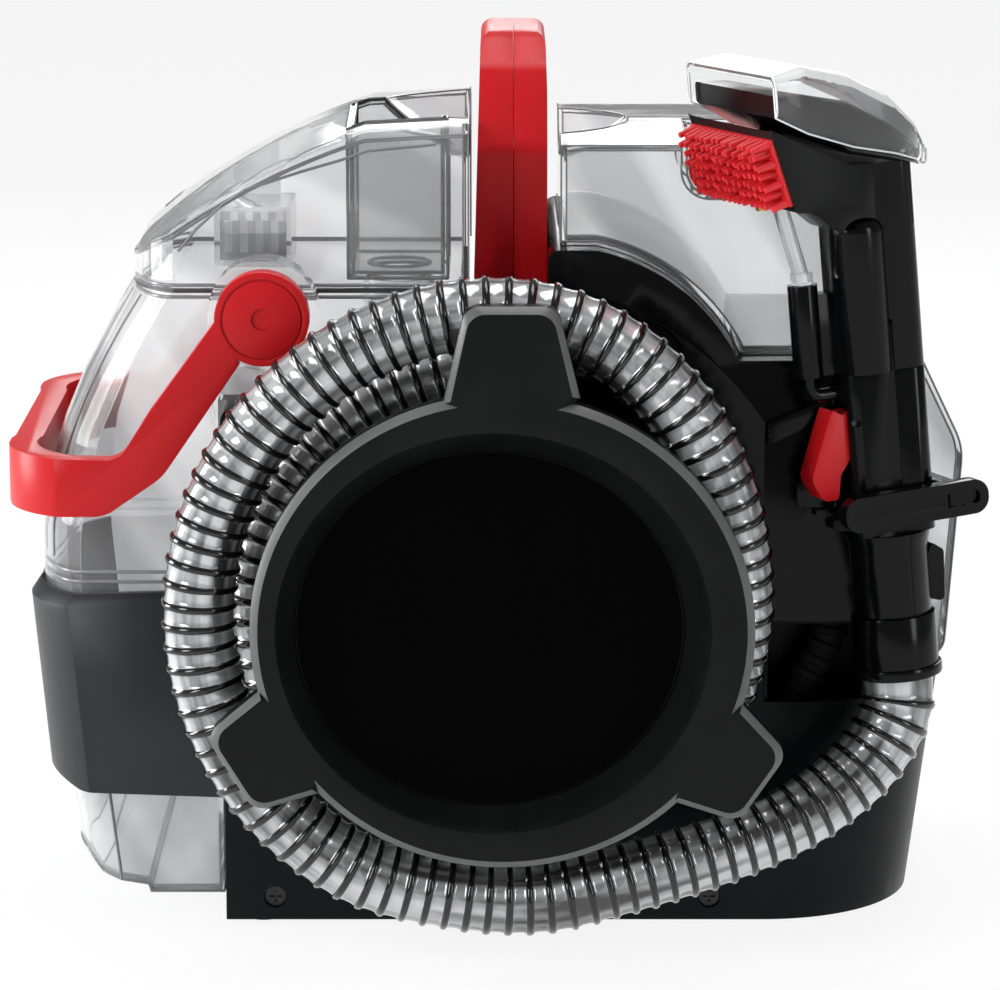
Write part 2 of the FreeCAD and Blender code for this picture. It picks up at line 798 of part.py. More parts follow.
def ribbed_tube(points, crest, valley, bore, pitch, plain_end, bore_step):
    """Hollow tube with rings, as one closed skin inside and out."""
    length, read = path_reader(points)
    ribs = int((length - 2 * plain_end) / pitch)
    slack = (length - 2 * plain_end - ribs * pitch) / 2
    rings = [(0.0, valley), (plain_end * 0.9, valley)]
    for rib in range(ribs):
        begin = plain_end + slack + rib * pitch
        for share, radius in ((0.2, valley), (0.36, crest), (0.68, crest), (0.84, valley)):
            rings.append((begin + share * pitch, radius))
    rings.append((length - plain_end * 0.9, valley))
    rings.append((length, valley))
    outer_wires = [steady_circle(*read(distance), radius) for distance, radius in rings]
    bore_count = max(4, int(length / bore_step))
    bore_wires = [steady_circle(*read(length * i / bore_count), bore) for i in range(bore_count + 1)]
    outer = Part.makeLoft(outer_wires, True, True)
    inner = Part.makeLoft(bore_wires, True, True)
    start = read(0.0)
    end = read(length)
    faces = []
    for skin, turned in ((outer, False), (inner, True)):
        for face in skin.Faces:
            middle = face.CenterOfMass
            flat = isinstance(face.Surface, Part.Plane)
            at_end = (middle - start[0]).Length < 0.01 or (middle - end[0]).Length < 0.01
            if flat and at_end:
                continue
            faces.append(face.reversed() if turned else face)
    faces.append(Part.Face([outer_wires[0], bore_wires[0]]))
    faces.append(Part.Face([outer_wires[-1], bore_wires[-1]]))
    shell = Part.makeShell(faces)
    shell.sewShape()
    solid = Part.makeSolid(shell)
    solid.fix(0.001, 0.001, 0.001)
    section = math.pi * (valley * valley - bore * bore)
    print("ribbed tube length", round(length, 1), "ribs", ribs, "volume over plain tube",
          round(solid.Volume / (section * length), 3), "valid", solid.isValid())
    return solid


def least_gap(points, radius, apart):
    """Least gap of a wound tube to itself, measured on points along it."""
    length, read = path_reader(points)
    count = int(length / 6.0)
    places = [read(length * i / count)[0] for i in range(count + 1)]
    skip = int(apart / 6.0)
    least = min((places[i] - places[j]).Length for i in range(len(places))
                for j in range(i + skip, len(places)))
    return least - 2 * radius


def least_bend(points):
    """Smallest radius of the route."""
    length, read = path_reader(points)
    step = 8.0
    count = int(length / step)
    radii = []
    for i in range(1, count - 1):
        turn = read(i * step)[1].getAngle(read((i + 1) * step)[1])
        if turn > 1e-4:
            radii.append(step / turn)
    return min(radii)


def hose():
    route = hose_route()
    print("hose least gap to itself", round(least_gap(route, hose_radius, 120.0), 2),
          "least bend radius", round(least_bend(route), 1))
    return ribbed_tube(route, hose_radius, hose_valley, hose_bore, hose_rib_pitch, hose_plug_in + 2.5, 18.0)


def solution_boot():
    """Ribbed rubber boot round the solution line, between the recess floor and its roof."""
    low = recess_bottom + liner_wall + seam_gap
    high = recess_top - liner_wall - seam_gap
    start_x = recess_left + liner_wall + boot_radius + 0.6
    shift = 17.0
    y = front_y + recess_depth / 2
    points = []
    for i in range(101):
        t = i / 100.0
        points.append(Vector(start_x + shift * smooth(t), y, low + (high - low) * t))
    return ribbed_tube(points, boot_radius, boot_radius - 1.3, line_radius + 0.4, boot_rib_pitch, 0.6, 5.0)


# Dirty tank

def side_shift(z):
    """How far the free end of the bucket leans in at a height."""
    straight_low = dirty_seam - 118.0
    straight_top = dirty_seam - 96.0
    if z < straight_low:
        return side_foot * (straight_low - z) / (straight_low - dirty_bottom)
    return side_lean * (max(0.0, z - straight_top) / (dirty_seam - straight_top)) ** 1.74


def tank_plan(left, inset):
    """Plan of the dirty tank at one height: long rounded corners at its free end."""
    f = dirty_front + inset
    r = dirty_rear - inset
    bend_x = left + corner_width * 0.29 + inset * 0.8
    bend_y = corner_depth * 0.29
    return [(upper_right - inset, f), (upper_right - inset, r), (left + corner_width, r),
            ("via", bend_x, r - bend_y), (left + inset, r - corner_depth), (left + inset, f + corner_depth),
            ("via", bend_x, f + bend_y), (left + corner_width, f)]


def dirty_outline(inset, top):
    """Front outline of the bucket without its free end."""
    right = tank_right - inset
    upper = upper_right - inset
    floor = dirty_bottom + inset
    far = dirty_left - 20.0
    return [(right, floor), (right, dirty_shelf + inset), (upper, dirty_shelf + inset), (upper, top),
            (far, top), (far, floor + 30.0), (dirty_left + side_foot + inset * 0.8, floor + 13.0, 3),
            (dirty_left + side_foot + 8.0, floor + 6.0), (dirty_left + 40.0, floor + 3.0),
            (dirty_left + 41.0, floor)]


def bucket_form(inset, top):
    """Bucket's body, drawn in by inset, up to a height."""
    heights = [dirty_bottom - 3, dirty_seam - 118.0, dirty_seam - 96.0]
    heights += [dirty_seam - 96.0 + 96.0 * share for share in (0.25, 0.45, 0.65, 0.83)]
    heights.append(max(top, dirty_seam) + 0.5)
    wires = [outline_wire("xy", tank_plan(dirty_left + side_shift(min(z, dirty_seam)), inset), z) for z in heights]
    front = slab("xz", dirty_outline(inset, top), dirty_front - 5, dirty_rear + 5)
    return Part.makeLoft(wires, True, True).common(front)


def dirty_bucket():
    """Clear bucket with a column that stands in the collar and a shelf over the tower."""
    bucket = bucket_form(0, dirty_seam).cut(bucket_form(tank_wall, dirty_seam + 1))
    for y0, y1 in ((bail_front + bail_thickness + seam_gap, dirty_front), (dirty_rear, bail_rear - bail_thickness
                                                                          - seam_gap)):
        boss = rod(Vector(pivot_x, y0, pivot_z), Vector(0, 1, 0), boss_radius, y1 - y0)
        boss = boss.common(block(pivot_x - 30, pivot_x + 30, y0, y1, pivot_z - 30, dirty_seam))
        bucket = bucket.fuse(boss)
    for start, way in ((bail_front - 1, 1), (bail_rear + 1, -1)):
        hole = rod(Vector(pivot_x, start, pivot_z), Vector(0, way, 0), bail_pin_radius + running_gap,
                   dirty_front - bail_front)
        bucket = bucket.cut(hole)
    foot = dirty_shelf + tank_wall
    pipe = tube(Vector(pipe_x, duct_y, foot), Vector(0, 0, 1), pipe_radius, pipe_radius - tank_wall,
                dirty_seam - 1 - foot)
    bucket = bucket.cut(rod(Vector(pipe_x, duct_y, dirty_shelf - 1), Vector(0, 0, 1), pipe_radius - tank_wall, 5))
    return Part.makeCompound([bucket, pipe])


def tank_gasket():
    """Seal between the bucket and its lid."""
    seal = slab("xy", lid_plan(0.4), dirty_seam, lid_seat)
    return seal.cut(slab("xy", lid_plan(tank_wall + 1.2), dirty_seam - 1, lid_seat + 1))


def lid_plan(inset):
    return tank_plan(dirty_left + side_lean, inset)


def lid_section(y, drop, inset, low):
    """Outline of the lid across the machine; drop lowers it towards the front and back."""
    left = dirty_left + side_lean - 4.0
    right = upper_right - inset
    top = lid_crown - drop - inset
    knee_x = -51.0
    bend_x = -100.0 + drop * 0.5 + inset * 0.6
    bend_z = lid_seat + (lid_crown - lid_seat) * 0.625 - drop * 0.55 - inset * 0.7
    return outline_wire("xz", [(right, low), (right, top), (knee_x, top - 2), ("via", bend_x, bend_z),
                               (left + inset, lid_seat + 8.0 - inset - drop * 0.2), (left + inset, low)], y)


def crowned(section, front, rear, drop, trim, low, inset):
    """Lid shape lofted through sections that fall away towards the front and back."""
    y0 = front + trim
    y1 = rear - trim
    bevel = 9.0
    middle = (y0 + y1) / 2
    wires = []
    for y, share in ((y0, 1.0), (y0 + bevel, 0.5), (middle, 0.0), (y1 - bevel, 0.5), (y1, 1.0)):
        wires.append(section(y, drop * share, inset, low))
    return Part.makeLoft(wires, True, True)


def scoop(extra):
    """Round hollow in both tank tops that makes room for a hand at the carry handle."""
    centre = Vector(handle_seam_x, scoop_y, scoop_bottom + scoop_radius)
    return Part.makeSphere(scoop_radius + extra, centre)


def lid_solid(inset, low, extra):
    body = crowned(lid_section, dirty_front - 3, dirty_rear + 3, lid_drop, 0.0, low, inset)
    return body.common(slab("xy", lid_plan(inset), low - 1, lid_crown + 5)).cut(scoop(extra))


def dirty_lid():
    body = lid_solid(0, lid_seat, 0).cut(lid_solid(tank_wall, lid_seat - 1, tank_wall))
    for y0, y1 in ((bail_front + bail_thickness + seam_gap, dirty_front + 0.5),
                   (dirty_rear - 0.5, bail_rear - bail_thickness - seam_gap)):
        ear = rod(Vector(pivot_x, y0, pivot_z), Vector(0, 1, 0), boss_radius, y1 - y0)
        body = body.fuse(ear.common(block(pivot_x - 30, pivot_x + 30, y0, y1, lid_seat, pivot_z + 30)))
    room = block(duct_left - seam_gap, duct_left + duct_width + seam_gap, duct_y - duct_depth / 2 - seam_gap,
                 duct_y + duct_depth / 2 + seam_gap, lid_seat - 1, lid_crown + 5)
    return body.cut(room)


def inlet_duct():
    """Square duct in the lid that carries the dirty water up and over, open at the scoop."""
    x0 = duct_left
    x1 = duct_left + duct_width
    y0 = duct_y - duct_depth / 2
    y1 = duct_y + duct_depth / 2
    outer = block(x0, x1, y0, y1, lid_seat + 1, lid_crown + 5).common(lid_solid(0, lid_seat, 0))
    w = tank_wall
    inner = block(x0 + w, x1 - w, y0 + w, y1 - w, lid_seat + 1 + w, lid_crown + 6)
    mouth = rod(Vector((x0 + x1) / 2, duct_y, lid_seat - 1), Vector(0, 0, 1), pipe_radius - w, 8)
    outlet = block(x0 - 1, x0 + w + 1, duct_y - 12, duct_y + 12, lid_seat + 6, lid_seat + 24)
    return outer.cut(inner).cut(mouth).cut(outlet)


def float_cage():
    """Dark cage hung from the inside of the lid round the float."""
    low = lid_seat + 1.0
    x0 = cage_x - cage_width / 2
    x1 = cage_x + cage_width / 2
    y0 = cage_y - cage_depth / 2
    y1 = cage_y + cage_depth / 2
    high = low + float_height + float_travel + 5
    cage = block(x0, x1, y0, y1, low, high)
    cage = cage.cut(block(x0 + 2, x1 - 2, y0 + 2, y1 - 2, low + 2, high - 2))
    slots = []
    for i in range(4):
        x = x0 + 4 + i * 6.0
        slots.append(block(x, x + 3, y0 - 1, y1 + 1, low + 5, high - 5))
    cage = cage.cut(Part.makeCompound(slots))
    hanger = block(x0 + 6, x1 - 6, y1 - 4, y1, high, lid_crown)
    roof = lid_solid(tank_wall + 0.2, lid_seat - 1, tank_wall)
    return cage.fuse(hanger.common(roof))


def shutoff_float():
    """Hollow float that rises and shuts the air way when the tank is full."""
    gap = 0.8
    low = lid_seat + 1.0 + 2 + seam_gap
    body = block(cage_x - cage_width / 2 + 2 + gap, cage_x + cage_width / 2 - 2 - gap,
                 cage_y - cage_depth / 2 + 2 + gap, cage_y + cage_depth / 2 - 2 - gap,
                 low, low + float_height)
    upright = [e for e in body.Edges if abs(e.Vertexes[0].Z - e.Vertexes[-1].Z) > 1]
    return body.makeFillet(4.0, upright)


def bail_plan(right, left, inset):
    """Plan of the bail: straight arms, and a band whose corners follow the tank's."""
    f = bail_front + inset
    r = bail_rear - inset
    side = left + inset
    turn_x = left + corner_width + 4.0 + inset * 0.4
    bend_x = left + corner_width * 0.34 + inset * 0.82
    bend_y = corner_depth * 0.29 - inset * 0.3
    return [(right, f), (turn_x, f), ("via", bend_x, f + bend_y), (side, bail_front + corner_depth),
            (side, bail_rear - corner_depth), ("via", bend_x, r - bend_y), (turn_x, r), (right, r)]


def tank_bail():
    """Red bail: two arms with round pivot discs, joined by a band round the end of the tank."""
    low = bail_band_bottom
    top = bail_band_top
    side = [(pivot_x - 17.5, pivot_z - 1.0), (pivot_x - 42.4, pivot_z - 35.0), (pivot_x - 54.0, top, 9),
            (bail_left - 1, top + 1), (bail_left - 1, low, 2), (pivot_x - 60.0, low, 14),
            (pivot_x - 38.0, pivot_z - 60.0, 20), (pivot_x - 8.5, pivot_z - 17.0)]
    arm = slab("xz", side, bail_front, bail_rear)
    disc = rod(Vector(pivot_x, bail_front, pivot_z), Vector(0, 1, 0), bail_disc_radius, bail_rear - bail_front)
    t = bail_thickness
    plan = bail_plan(pivot_x + 40, bail_left, 0.0)
    inner = bail_plan(pivot_x + 41, bail_left + 1.5, t)
    form = arm.fuse(disc).common(slab("xy", plan, low - 5, lid_crown)).cut(slab("xy", inner, low - 6, lid_crown + 1))
    bore = rod(Vector(pivot_x, bail_front - 1, pivot_z), Vector(0, 1, 0), bail_pin_radius + running_gap,
               bail_rear - bail_front + 2)
    form = form.cut(bore)
    groove = tube(Vector(pivot_x, bail_front - 1, pivot_z), Vector(0, 1, 0), bail_disc_radius - 2.4,
                  bail_disc_radius - 3.2, 1.8)
    return form.cut(groove)


def bail_pins():
    length = dirty_front - bail_front - 2.5
    pins = []
    for start, way in ((bail_front + 1, 1), (bail_rear - 1, -1)):
        pins.append(rod(Vector(pivot_x, start, pivot_z), Vector(0, way, 0), bail_pin_radius, length))
    return Part.makeCompound(pins)


# Clean tank

def clean_section(y, drop, inset, low):
    """Outline of the clean tank; it wraps over the tower and stands on the base at the right."""
    left = clean_left + inset
    top = clean_crown - drop - inset
    right = clean_right - inset
    gap = tank_gap + inset
    floor = clean_bottom + inset
    seat = tower_shoulder + seat_gap + inset
    return outline_wire("xz", [(left, tower_saddle + gap), (left, top), (118.0, top),
                               ("via", 142.0 - drop * 0.5 - inset * 0.75, 280.0 - drop * 0.5 - inset * 0.65),
                               (153.5 - drop * 0.5 - inset * 0.95, 238.0 - inset * 0.3),
                               (right, 186.0, 24 - inset), (right - 6.0, floor, 8 - inset),
                               (leg_left + inset, floor, 3), (leg_left + inset, seat),
                               (shoulder_start + gap * 0.8, seat),
                               ("via", saddle_bend[0] + gap * 0.6, saddle_bend[1] + gap * 0.8),
                               (saddle_end + gap * 0.2, tower_saddle + gap)], y)


def cap_room(extra):
    """Recess at the top front of the clean tank for the fill cap."""
    corner = 9.0 + extra
    front = slab("xz", [(cap_left - extra, cap_floor - extra, corner), (cap_right + extra, cap_floor - extra, corner),
                        (cap_right + extra, clean_crown + 10), (cap_left - extra, clean_crown + 10)],
                 clean_front - 5, cap_back + extra)
    return front


def clean_solid(inset, extra):
    body = crowned(clean_section, clean_front, clean_rear, clean_drop, inset, clean_bottom, inset)
    return body.cut(scoop(extra)).cut(cap_room(extra))


def clean_tank():
    """Clear tank with a fill hole under the cap and a valve hole under its leg."""
    body = clean_solid(0, 0).cut(clean_solid(tank_wall, tank_wall))
    fill_x = (cap_left + cap_right) / 2
    body = body.cut(rod(Vector(fill_x, fill_y, cap_floor - 6), Vector(0, 0, 1), fill_radius, 12))
    for x in (cap_left - 1, cap_right - 1.6):
        ear = block(x, x + 2.6, cap_hinge_y - 3.4, cap_back + 1, cap_hinge_z - 3.4, cap_hinge_z + 3.4)
        body = body.fuse(ear)
    pin = rod(Vector(cap_left - 4, cap_hinge_y, cap_hinge_z), Vector(1, 0, 0), cap_pin_radius, cap_width + 8)
    body = body.cut(pin)
    collar = tube(Vector(seat_x, seat_y, clean_bottom - 3), Vector(0, 0, 1), seat_radius - 3.5, seat_radius - 5.5,
                  3 + tank_wall)
    body = body.cut(rod(Vector(seat_x, seat_y, clean_bottom - 1), Vector(0, 0, 1), seat_radius - 4.5, tank_wall + 2))
    return body.fuse(collar)


def fill_cap():
    """Red flip cap with a front apron, round its hinge barrel."""
    x0 = cap_left + cap_gap
    x1 = cap_right - cap_gap
    top = cap_hinge_z + cap_thickness
    front = clean_front + 0.5
    apron = slab("xz", [(x0, cap_floor + cap_gap, 8.5), (x1, cap_floor + cap_gap, 8.5), (x1, top, 2), (x0, top, 2)],
                 front, front + cap_thickness)
    lid = slab("yz", [(front, top - cap_thickness), (front, top, 2), (cap_hinge_y, top),
                      (cap_hinge_y, top - cap_thickness)], x0, x1)
    lid = lid.cut(block(x0 - 1, x0 + 2.6, cap_hinge_y - 6.2, cap_hinge_y + 5, top - 10, top + 1))
    lid = lid.cut(block(x1 - 2.6, x1 + 1, cap_hinge_y - 6.2, cap_hinge_y + 5, top - 10, top + 1))
    barrel = rod(Vector(x0 + 2.6, cap_hinge_y, cap_hinge_z), Vector(1, 0, 0), cap_barrel_radius, x1 - x0 - 5.2)
    stem = rod(Vector((x0 + x1) / 2, fill_y, cap_floor + 3.4), Vector(0, 0, 1), 5.0,
               top - cap_thickness - cap_floor - 3.0)
    pins = rod(Vector(cap_left - 0.6, cap_hinge_y, cap_hinge_z), Vector(1, 0, 0), cap_pin_radius, cap_width + 1.2)
    return apron.fuse(lid).fuse(barrel).fuse(stem).fuse(pins)


def cap_seal():
    """Rubber plug under the cap."""
    x = (cap_left + cap_right) / 2
    disc = rod(Vector(x, fill_y, cap_floor + seam_gap), Vector(0, 0, 1), fill_radius + 2.0, 3.4 - seam_gap)
    spigot = rod(Vector(x, fill_y, cap_floor - 2.5), Vector(0, 0, 1), fill_radius - 3.4, 3.0)
    return disc.fuse(spigot)


def tank_valve():
    """Outlet valve in the tank's leg: plunger, stem and seal."""
    stem = rod(Vector(seat_x, seat_y, clean_bottom - 2.5), Vector(0, 0, 1), 2.2, 12.0)
    head = Part.makeCone(seat_radius - 2.0, 3.0, 4.0, Vector(seat_x, seat_y, clean_bottom + tank_wall + valve_lift),
                         Vector(0, 0, 1))
    return stem.fuse(head)


def valve_seat():
    """Cup in the base that the tank's valve stands in, with the pin that opens it."""
    cup_top = base_top + 2.0
    low = base_top - 10.0
    outer = rod(Vector(seat_x, seat_y, low), Vector(0, 0, 1), seat_radius - 1.5 - seam_gap, cup_top - low)
    flange = rod(Vector(seat_x, seat_y, base_top), Vector(0, 0, 1), seat_radius + 1.0, cup_top - base_top)
    room = rod(Vector(seat_x, seat_y, low + 2), Vector(0, 0, 1), seat_radius - 3.0, 20)
    pin = rod(Vector(seat_x, seat_y, low + 1), Vector(0, 0, 1), 1.5, clean_bottom - 2.5 - seam_gap - low - 1)
    drain = rod(Vector(seat_x + 4.5, seat_y, low - 1), Vector(0, 0, 1), 1.6, 5)
    return outer.fuse(flange).cut(room).fuse(pin).cut(drain)


# Carry handle

def handle_form():
    """Arch of the carry handle: draft in front, a sloped shoulder and a round grip above."""
    low = tower_left_top + seam_gap
    side = [(grip_front, low), (grip_front, grip_knee, 10), (grip_front + 17, grip_top - 12, 12),
            (grip_front + 34, grip_top, 18), (grip_rear - 34, grip_top, 18),
            (grip_rear - 17, grip_top - 12, 12), (grip_rear, grip_knee, 10), (grip_rear, low)]
    arch = slab("yz", side, grip_left - 10, grip_right + 10)
    lower_gap = block(grip_left - 11, grip_right + 11, spine_front - seam_gap, spine_front + spine_depth + seam_gap,
                      low - 1, spine_top + seam_gap)
    inner_front = spine_front + 6
    inner_rear = spine_front + spine_depth - 6
    hole = slab("yz", [(spine_front, spine_top - 1), (inner_front, grip_top - grip_bar - 4, 8),
                       (inner_front + 14, grip_top - grip_bar, 12), (inner_rear - 14, grip_top - grip_bar, 12),
                       (inner_rear, grip_top - grip_bar - 4, 8), (spine_front + spine_depth, spine_top - 1)],
                grip_left - 11, grip_right + 11)
    extra = grip_foot_extra
    front = [(grip_left - extra * 2, low), (grip_left, grip_knee + 20), (grip_left + 0.6, grip_top, 6),
             (grip_right - 0.6, grip_top, 6), (grip_right, grip_knee + 20), (grip_right, low)]
    drafted = slab("xz", front, grip_front - 1, grip_rear + 1)
    return arch.common(drafted).cut(lower_gap).cut(hole)


def handle_half(left):
    form = handle_form()
    if left:
        keep = block(grip_left - 12, handle_seam_x - 0.15, grip_front - 2, grip_rear + 2, tower_left_top, grip_top + 1)
    else:
        keep = block(handle_seam_x + 0.15, grip_right + 12, grip_front - 2, grip_rear + 2, tower_left_top,
                     grip_top + 1)
    return form.common(keep)


# Wand and tool

def wand_section(inset):
    """Plan of the grip: rounder at the trigger side, flatter at the back."""
    w = grip_half_width - inset
    d = grip_half_depth - inset
    return [(-w, -d + 3.0, grip_corner), (-w, d - 3.0, grip_corner), (w, d, 6), (w, -d, 6)]


def hose_cuff():
    """Swivel cuff where the hose enters the handle, with a ring at its lower end."""
    body = tube(Vector(0, 0, 0), Vector(0, 0, 1), cuff_radius - 1.2, hose_valley + 0.2, cuff_length)
    ring = tube(Vector(0, 0, 0), Vector(0, 0, 1), cuff_radius, hose_valley + 0.2, 4.2)
    return wand_place(body.fuse(ring))


def grip_form():
    low = cuff_length + seam_gap
    neck = rod(Vector(0, 0, low), Vector(0, 0, 1), handle_radius, grip_start - 6 - low)
    grip = slab("xy", wand_section(0), grip_start, grip_end)
    joiner = Part.makeCone(handle_radius, handle_radius + 1.5, 6, Vector(0, 0, grip_start - 6), Vector(0, 0, 1))
    spigot = rod(Vector(0, 0, grip_end), Vector(0, 0, 1), spigot_radius, spigot_length)
    body = neck.fuse(joiner).fuse(grip).fuse(spigot)
    body = body.cut(rod(Vector(0, 0, 0), Vector(0, 0, 1), wand_bore, grip_end + spigot_length + 5))
    slot = block(-grip_half_width - 5, -wand_bore - 1.2, -trigger_half_width - trigger_slot_gap,
                 trigger_half_width + trigger_slot_gap, 62, trigger_pivot_z + 7)
    pin = rod(Vector(trigger_pivot_x, -20, trigger_pivot_z), Vector(0, 1, 0), trigger_pin_radius, 40)
    return body.cut(slot).cut(pin)


def grip_half(front):
    seam = 2.0
    form = grip_form()
    if front:
        keep = block(-60, seam - 0.1, -60, 60, 0, 200)
    else:
        keep = block(seam + 0.1, 60, -60, 60, 0, 200)
    return wand_place(form.common(keep))


def finger_stop():
    """Grey lug under the trigger."""
    body = slab("xz", [(-grip_half_width - seam_gap + 0.3, 58), (-grip_half_width - 7.5, 59.5, 2),
                       (-grip_half_width - 7.5, 63.2, 1), (-grip_half_width, 63.2)], -4, 4)
    return wand_place(body)


def hang_lug():
    """Small lug at the back of the handle that hangs in the holder."""
    body = slab("xz", [(handle_radius - 0.3, 27), (handle_radius + 5.5, 25.0, 2), (handle_radius + 6.5, 45, 2),
                       (handle_radius + 1.8, 48.5, 1), (handle_radius - 0.3, 44)], -3.5, 3.5)
    return wand_place(body.cut(rod(Vector(0, 0, 0), Vector(0, 0, 1), handle_radius + 0.02, 80)))


def grip_lugs():
    return Part.makeCompound([finger_stop(), hang_lug()])


def trigger():
    """Red spray trigger, hung on its pin at the top."""
    px = trigger_pivot_x
    pz = trigger_pivot_z
    side = [(px - 7.5, pz + 5.5, 1), (px - 4.0, pz + 3.0), (px + 2.4, pz + 4.0, 2), (px + 1.8, pz - 8.0, 2),
            (px - 2.5, pz - 15.0, 5), (px - 6.0, pz - 19.5, 3), (px - 7.5, pz - 28.6, 1.5),
            (px - 13.5, pz - 28.6, 3.5), (px - 18.0, pz - 20.0, 6), (px - 12.0, pz - 5.0, 14)]
    body = slab("xz", side, -trigger_half_width, trigger_half_width)
    bore = rod(Vector(px, -20, pz), Vector(0, 1, 0), trigger_pin_radius + running_gap, 40)
    r = spring_radius + 0.5
    notch = block(px - r, px + 6, -spring_half - 0.4, spring_half + 0.4, pz - r, pz + 8)
    return wand_place(body.cut(bore).cut(notch))


def trigger_pin():
    reach = trigger_half_width + 3.0
    return wand_place(rod(Vector(trigger_pivot_x, -reach, trigger_pivot_z), Vector(0, 1, 0), trigger_pin_radius,
                          reach * 2))


def trigger_spring():
    """Coiled return spring on the trigger's pin, with a leg that rests on the grip."""
    place = Vector(trigger_pivot_x, -spring_half, trigger_pivot_z)
    coil = rod(place, Vector(0, 1, 0), spring_radius, spring_half * 2)
    leg_end = -wand_bore - 1.2 - seam_gap
    leg = block(trigger_pivot_x + 1.8, leg_end, -0.5, 0.5, trigger_pivot_z - 0.5, trigger_pivot_z + 0.5)
    bore = rod(place - Vector(0, 1, 0), Vector(0, 1, 0), trigger_pin_radius + running_gap, spring_half * 2 + 2)
    return wand_place(coil.fuse(leg).cut(bore))


def solution_elbow():
    """Short elbow that brings the solution from the grip to the tool's spray line."""
    top = grip_end
    low = top - 7.5
    x = side_tube_x
    line = bent_line([Vector(x, 0, top), Vector(x, 0, low), Vector(-grip_half_width, 0, low)], 5.0, 2.6)
    return wand_place(line)


def hood_section(x, half, low, high, corner):
    return outline_wire("yz", [(-half, low, corner), (-half, high, corner), (half, high, corner),
                               (half, low, corner)], x)


def hood(inset, drop, floor_drop, stretch):
    """Flared hood of the nozzle through its sections, drawn in by inset."""
    wires = []
    for i, (x, half, low, high, corner) in enumerate(hood_table):
        share = half / hood_table[0][1]
        wide = half - inset + (mouth_half_width - 40.0) * share
        z0 = low + min(inset, 1.8) - floor_drop
        z1 = high - inset - min(drop, 0.35 * (high - low))
        if i == 0:
            x = x - stretch
        if i == len(hood_table) - 1:
            x = x - inset
        wires.append(hood_section(x, wide, z0, z1, max(0.8, corner - inset)))
    return Part.makeLoft(wires, True, True)


def tool_window():
    """Clear cover of the nozzle, open at the mouth and below."""
    shell = hood(0, 0, 0, 0).cut(hood(window_wall, 0, 14, 1.0))
    return wand_place(shell)


def tool_body():
    """Black body of the tool: socket, neck and the ramp under the clear cover."""
    gap = seam_gap
    ramp = hood(window_wall + gap + 0.1, 8.0, 2.0, -2.0)
    neck = slab("xy", wand_section(0), grip_end + gap, tool_neck_top)
    shaft = rod(Vector(-6.5, -5.0, grip_end + gap), Vector(0, 0, 1), shaft_radius_out, shaft_top - grip_end - gap)
    shaft = shaft.makeFillet(6.0, [e for e in shaft.Edges if e.CenterOfMass.z > shaft_top - 10])
    spray_line = rod(Vector(side_tube_x, 0, grip_end + gap), Vector(0, 0, 1), side_tube_radius,
                     side_tube_top - grip_end - gap)
    web = block(side_tube_x, -grip_half_width + 1, -3, 3, grip_end + gap, side_tube_top - 4)
    under = slab("xz", [(-16, 172, 6), (-46, 200), (-46, 214), (14, 197), (14, 172)], -12, 12)
    cover = hood(-gap, 0, 0, 0).cut(hood(window_wall + gap, 0, 14, 1.0))
    body = neck.fuse(shaft).fuse(spray_line).fuse(web).fuse(under).cut(cover).fuse(ramp)
    socket = rod(Vector(0, 0, grip_end), Vector(0, 0, 1), spigot_radius + 0.3, spigot_length + 1.5)
    body = body.cut(socket)
    channel = rod(Vector(0, 0, grip_end), Vector(0, 0, 1), wand_bore, 300)
    body = body.cut(channel)
    line = rod(Vector(side_tube_x, 0, grip_end - 1), Vector(0, 0, 1), line_radius - 1.0, side_tube_top - grip_end - 4)
    return wand_place(body.cut(line))


def brush_block():
    """Holder of the bristles, a wedge under the mouth."""
    body = slab("xz", brush_outline(), -brush_half_width, brush_half_width)
    room = hood(0, 0, 1.0, 10).fuse(hood(window_wall + seam_gap, 8.0, 3.0, 10))
    neck = slab("xz", [(-18, 150), (-47, 200), (-47, 240), (40, 240), (40, 150)], -12.4, 12.4)
    return wand_place(body.cut(room).cut(neck))


def brush_outline():
    x = mouth_x
    return [(x - 2.0, brush_top), (x + 6.0, brush_low, 2), (x + 30.0, brush_low + 0.5), (x + 33.0, brush_top - 19.0),
            (x + 14.0, brush_top - 9.0)]


def tuft(root, out):
    """Six-sided tuft that narrows to its tip."""
    across = out.cross(Vector(0, 1, 0))
    rings = []
    for middle, size in ((root, bristle_radius), (root + out * bristle_length, bristle_radius * 0.7)):
        corners = []
        for i in range(7):
            turn = math.radians(60 * i)
            corners.append(middle + (Vector(0, math.cos(turn), 0) + across * math.sin(turn)) * size)
        rings.append(Part.makePolygon(corners))
    return Part.makeLoft(rings, True, True)


def brush_bristles():
    """Rows of red nubs on the slanted face of the block."""
    x = mouth_x
    top = Vector(x - 2.0, 0, brush_top)
    low = Vector(x + 6.0, 0, brush_low)
    down = (low - top).normalize()
    out = Vector(down.z, 0, -down.x)
    face = (low - top).Length
    nubs = []
    for row in range(bristle_rows):
        along = face * (row + 1.1) / (bristle_rows + 1.1)
        for column in range(bristles_per_row):
            shift = 0.5 if row % 2 else 0.0
            y = (column + 0.25 + shift - bristles_per_row / 2.0) * (2 * brush_half_width - 3) / bristles_per_row
            root = top + down * along + Vector(0, y, 0)
            nubs.append(tuft(root, out))
    strip_out = out * 1.2
    points = [top + down * 4, top + down * 4 + strip_out, low - down * 3 + strip_out, low - down * 3]
    strip = slab("xz", [(p.x, p.z) for p in points], -brush_half_width + 1, brush_half_width - 1)
    return wand_place(strip.fuse(nubs))


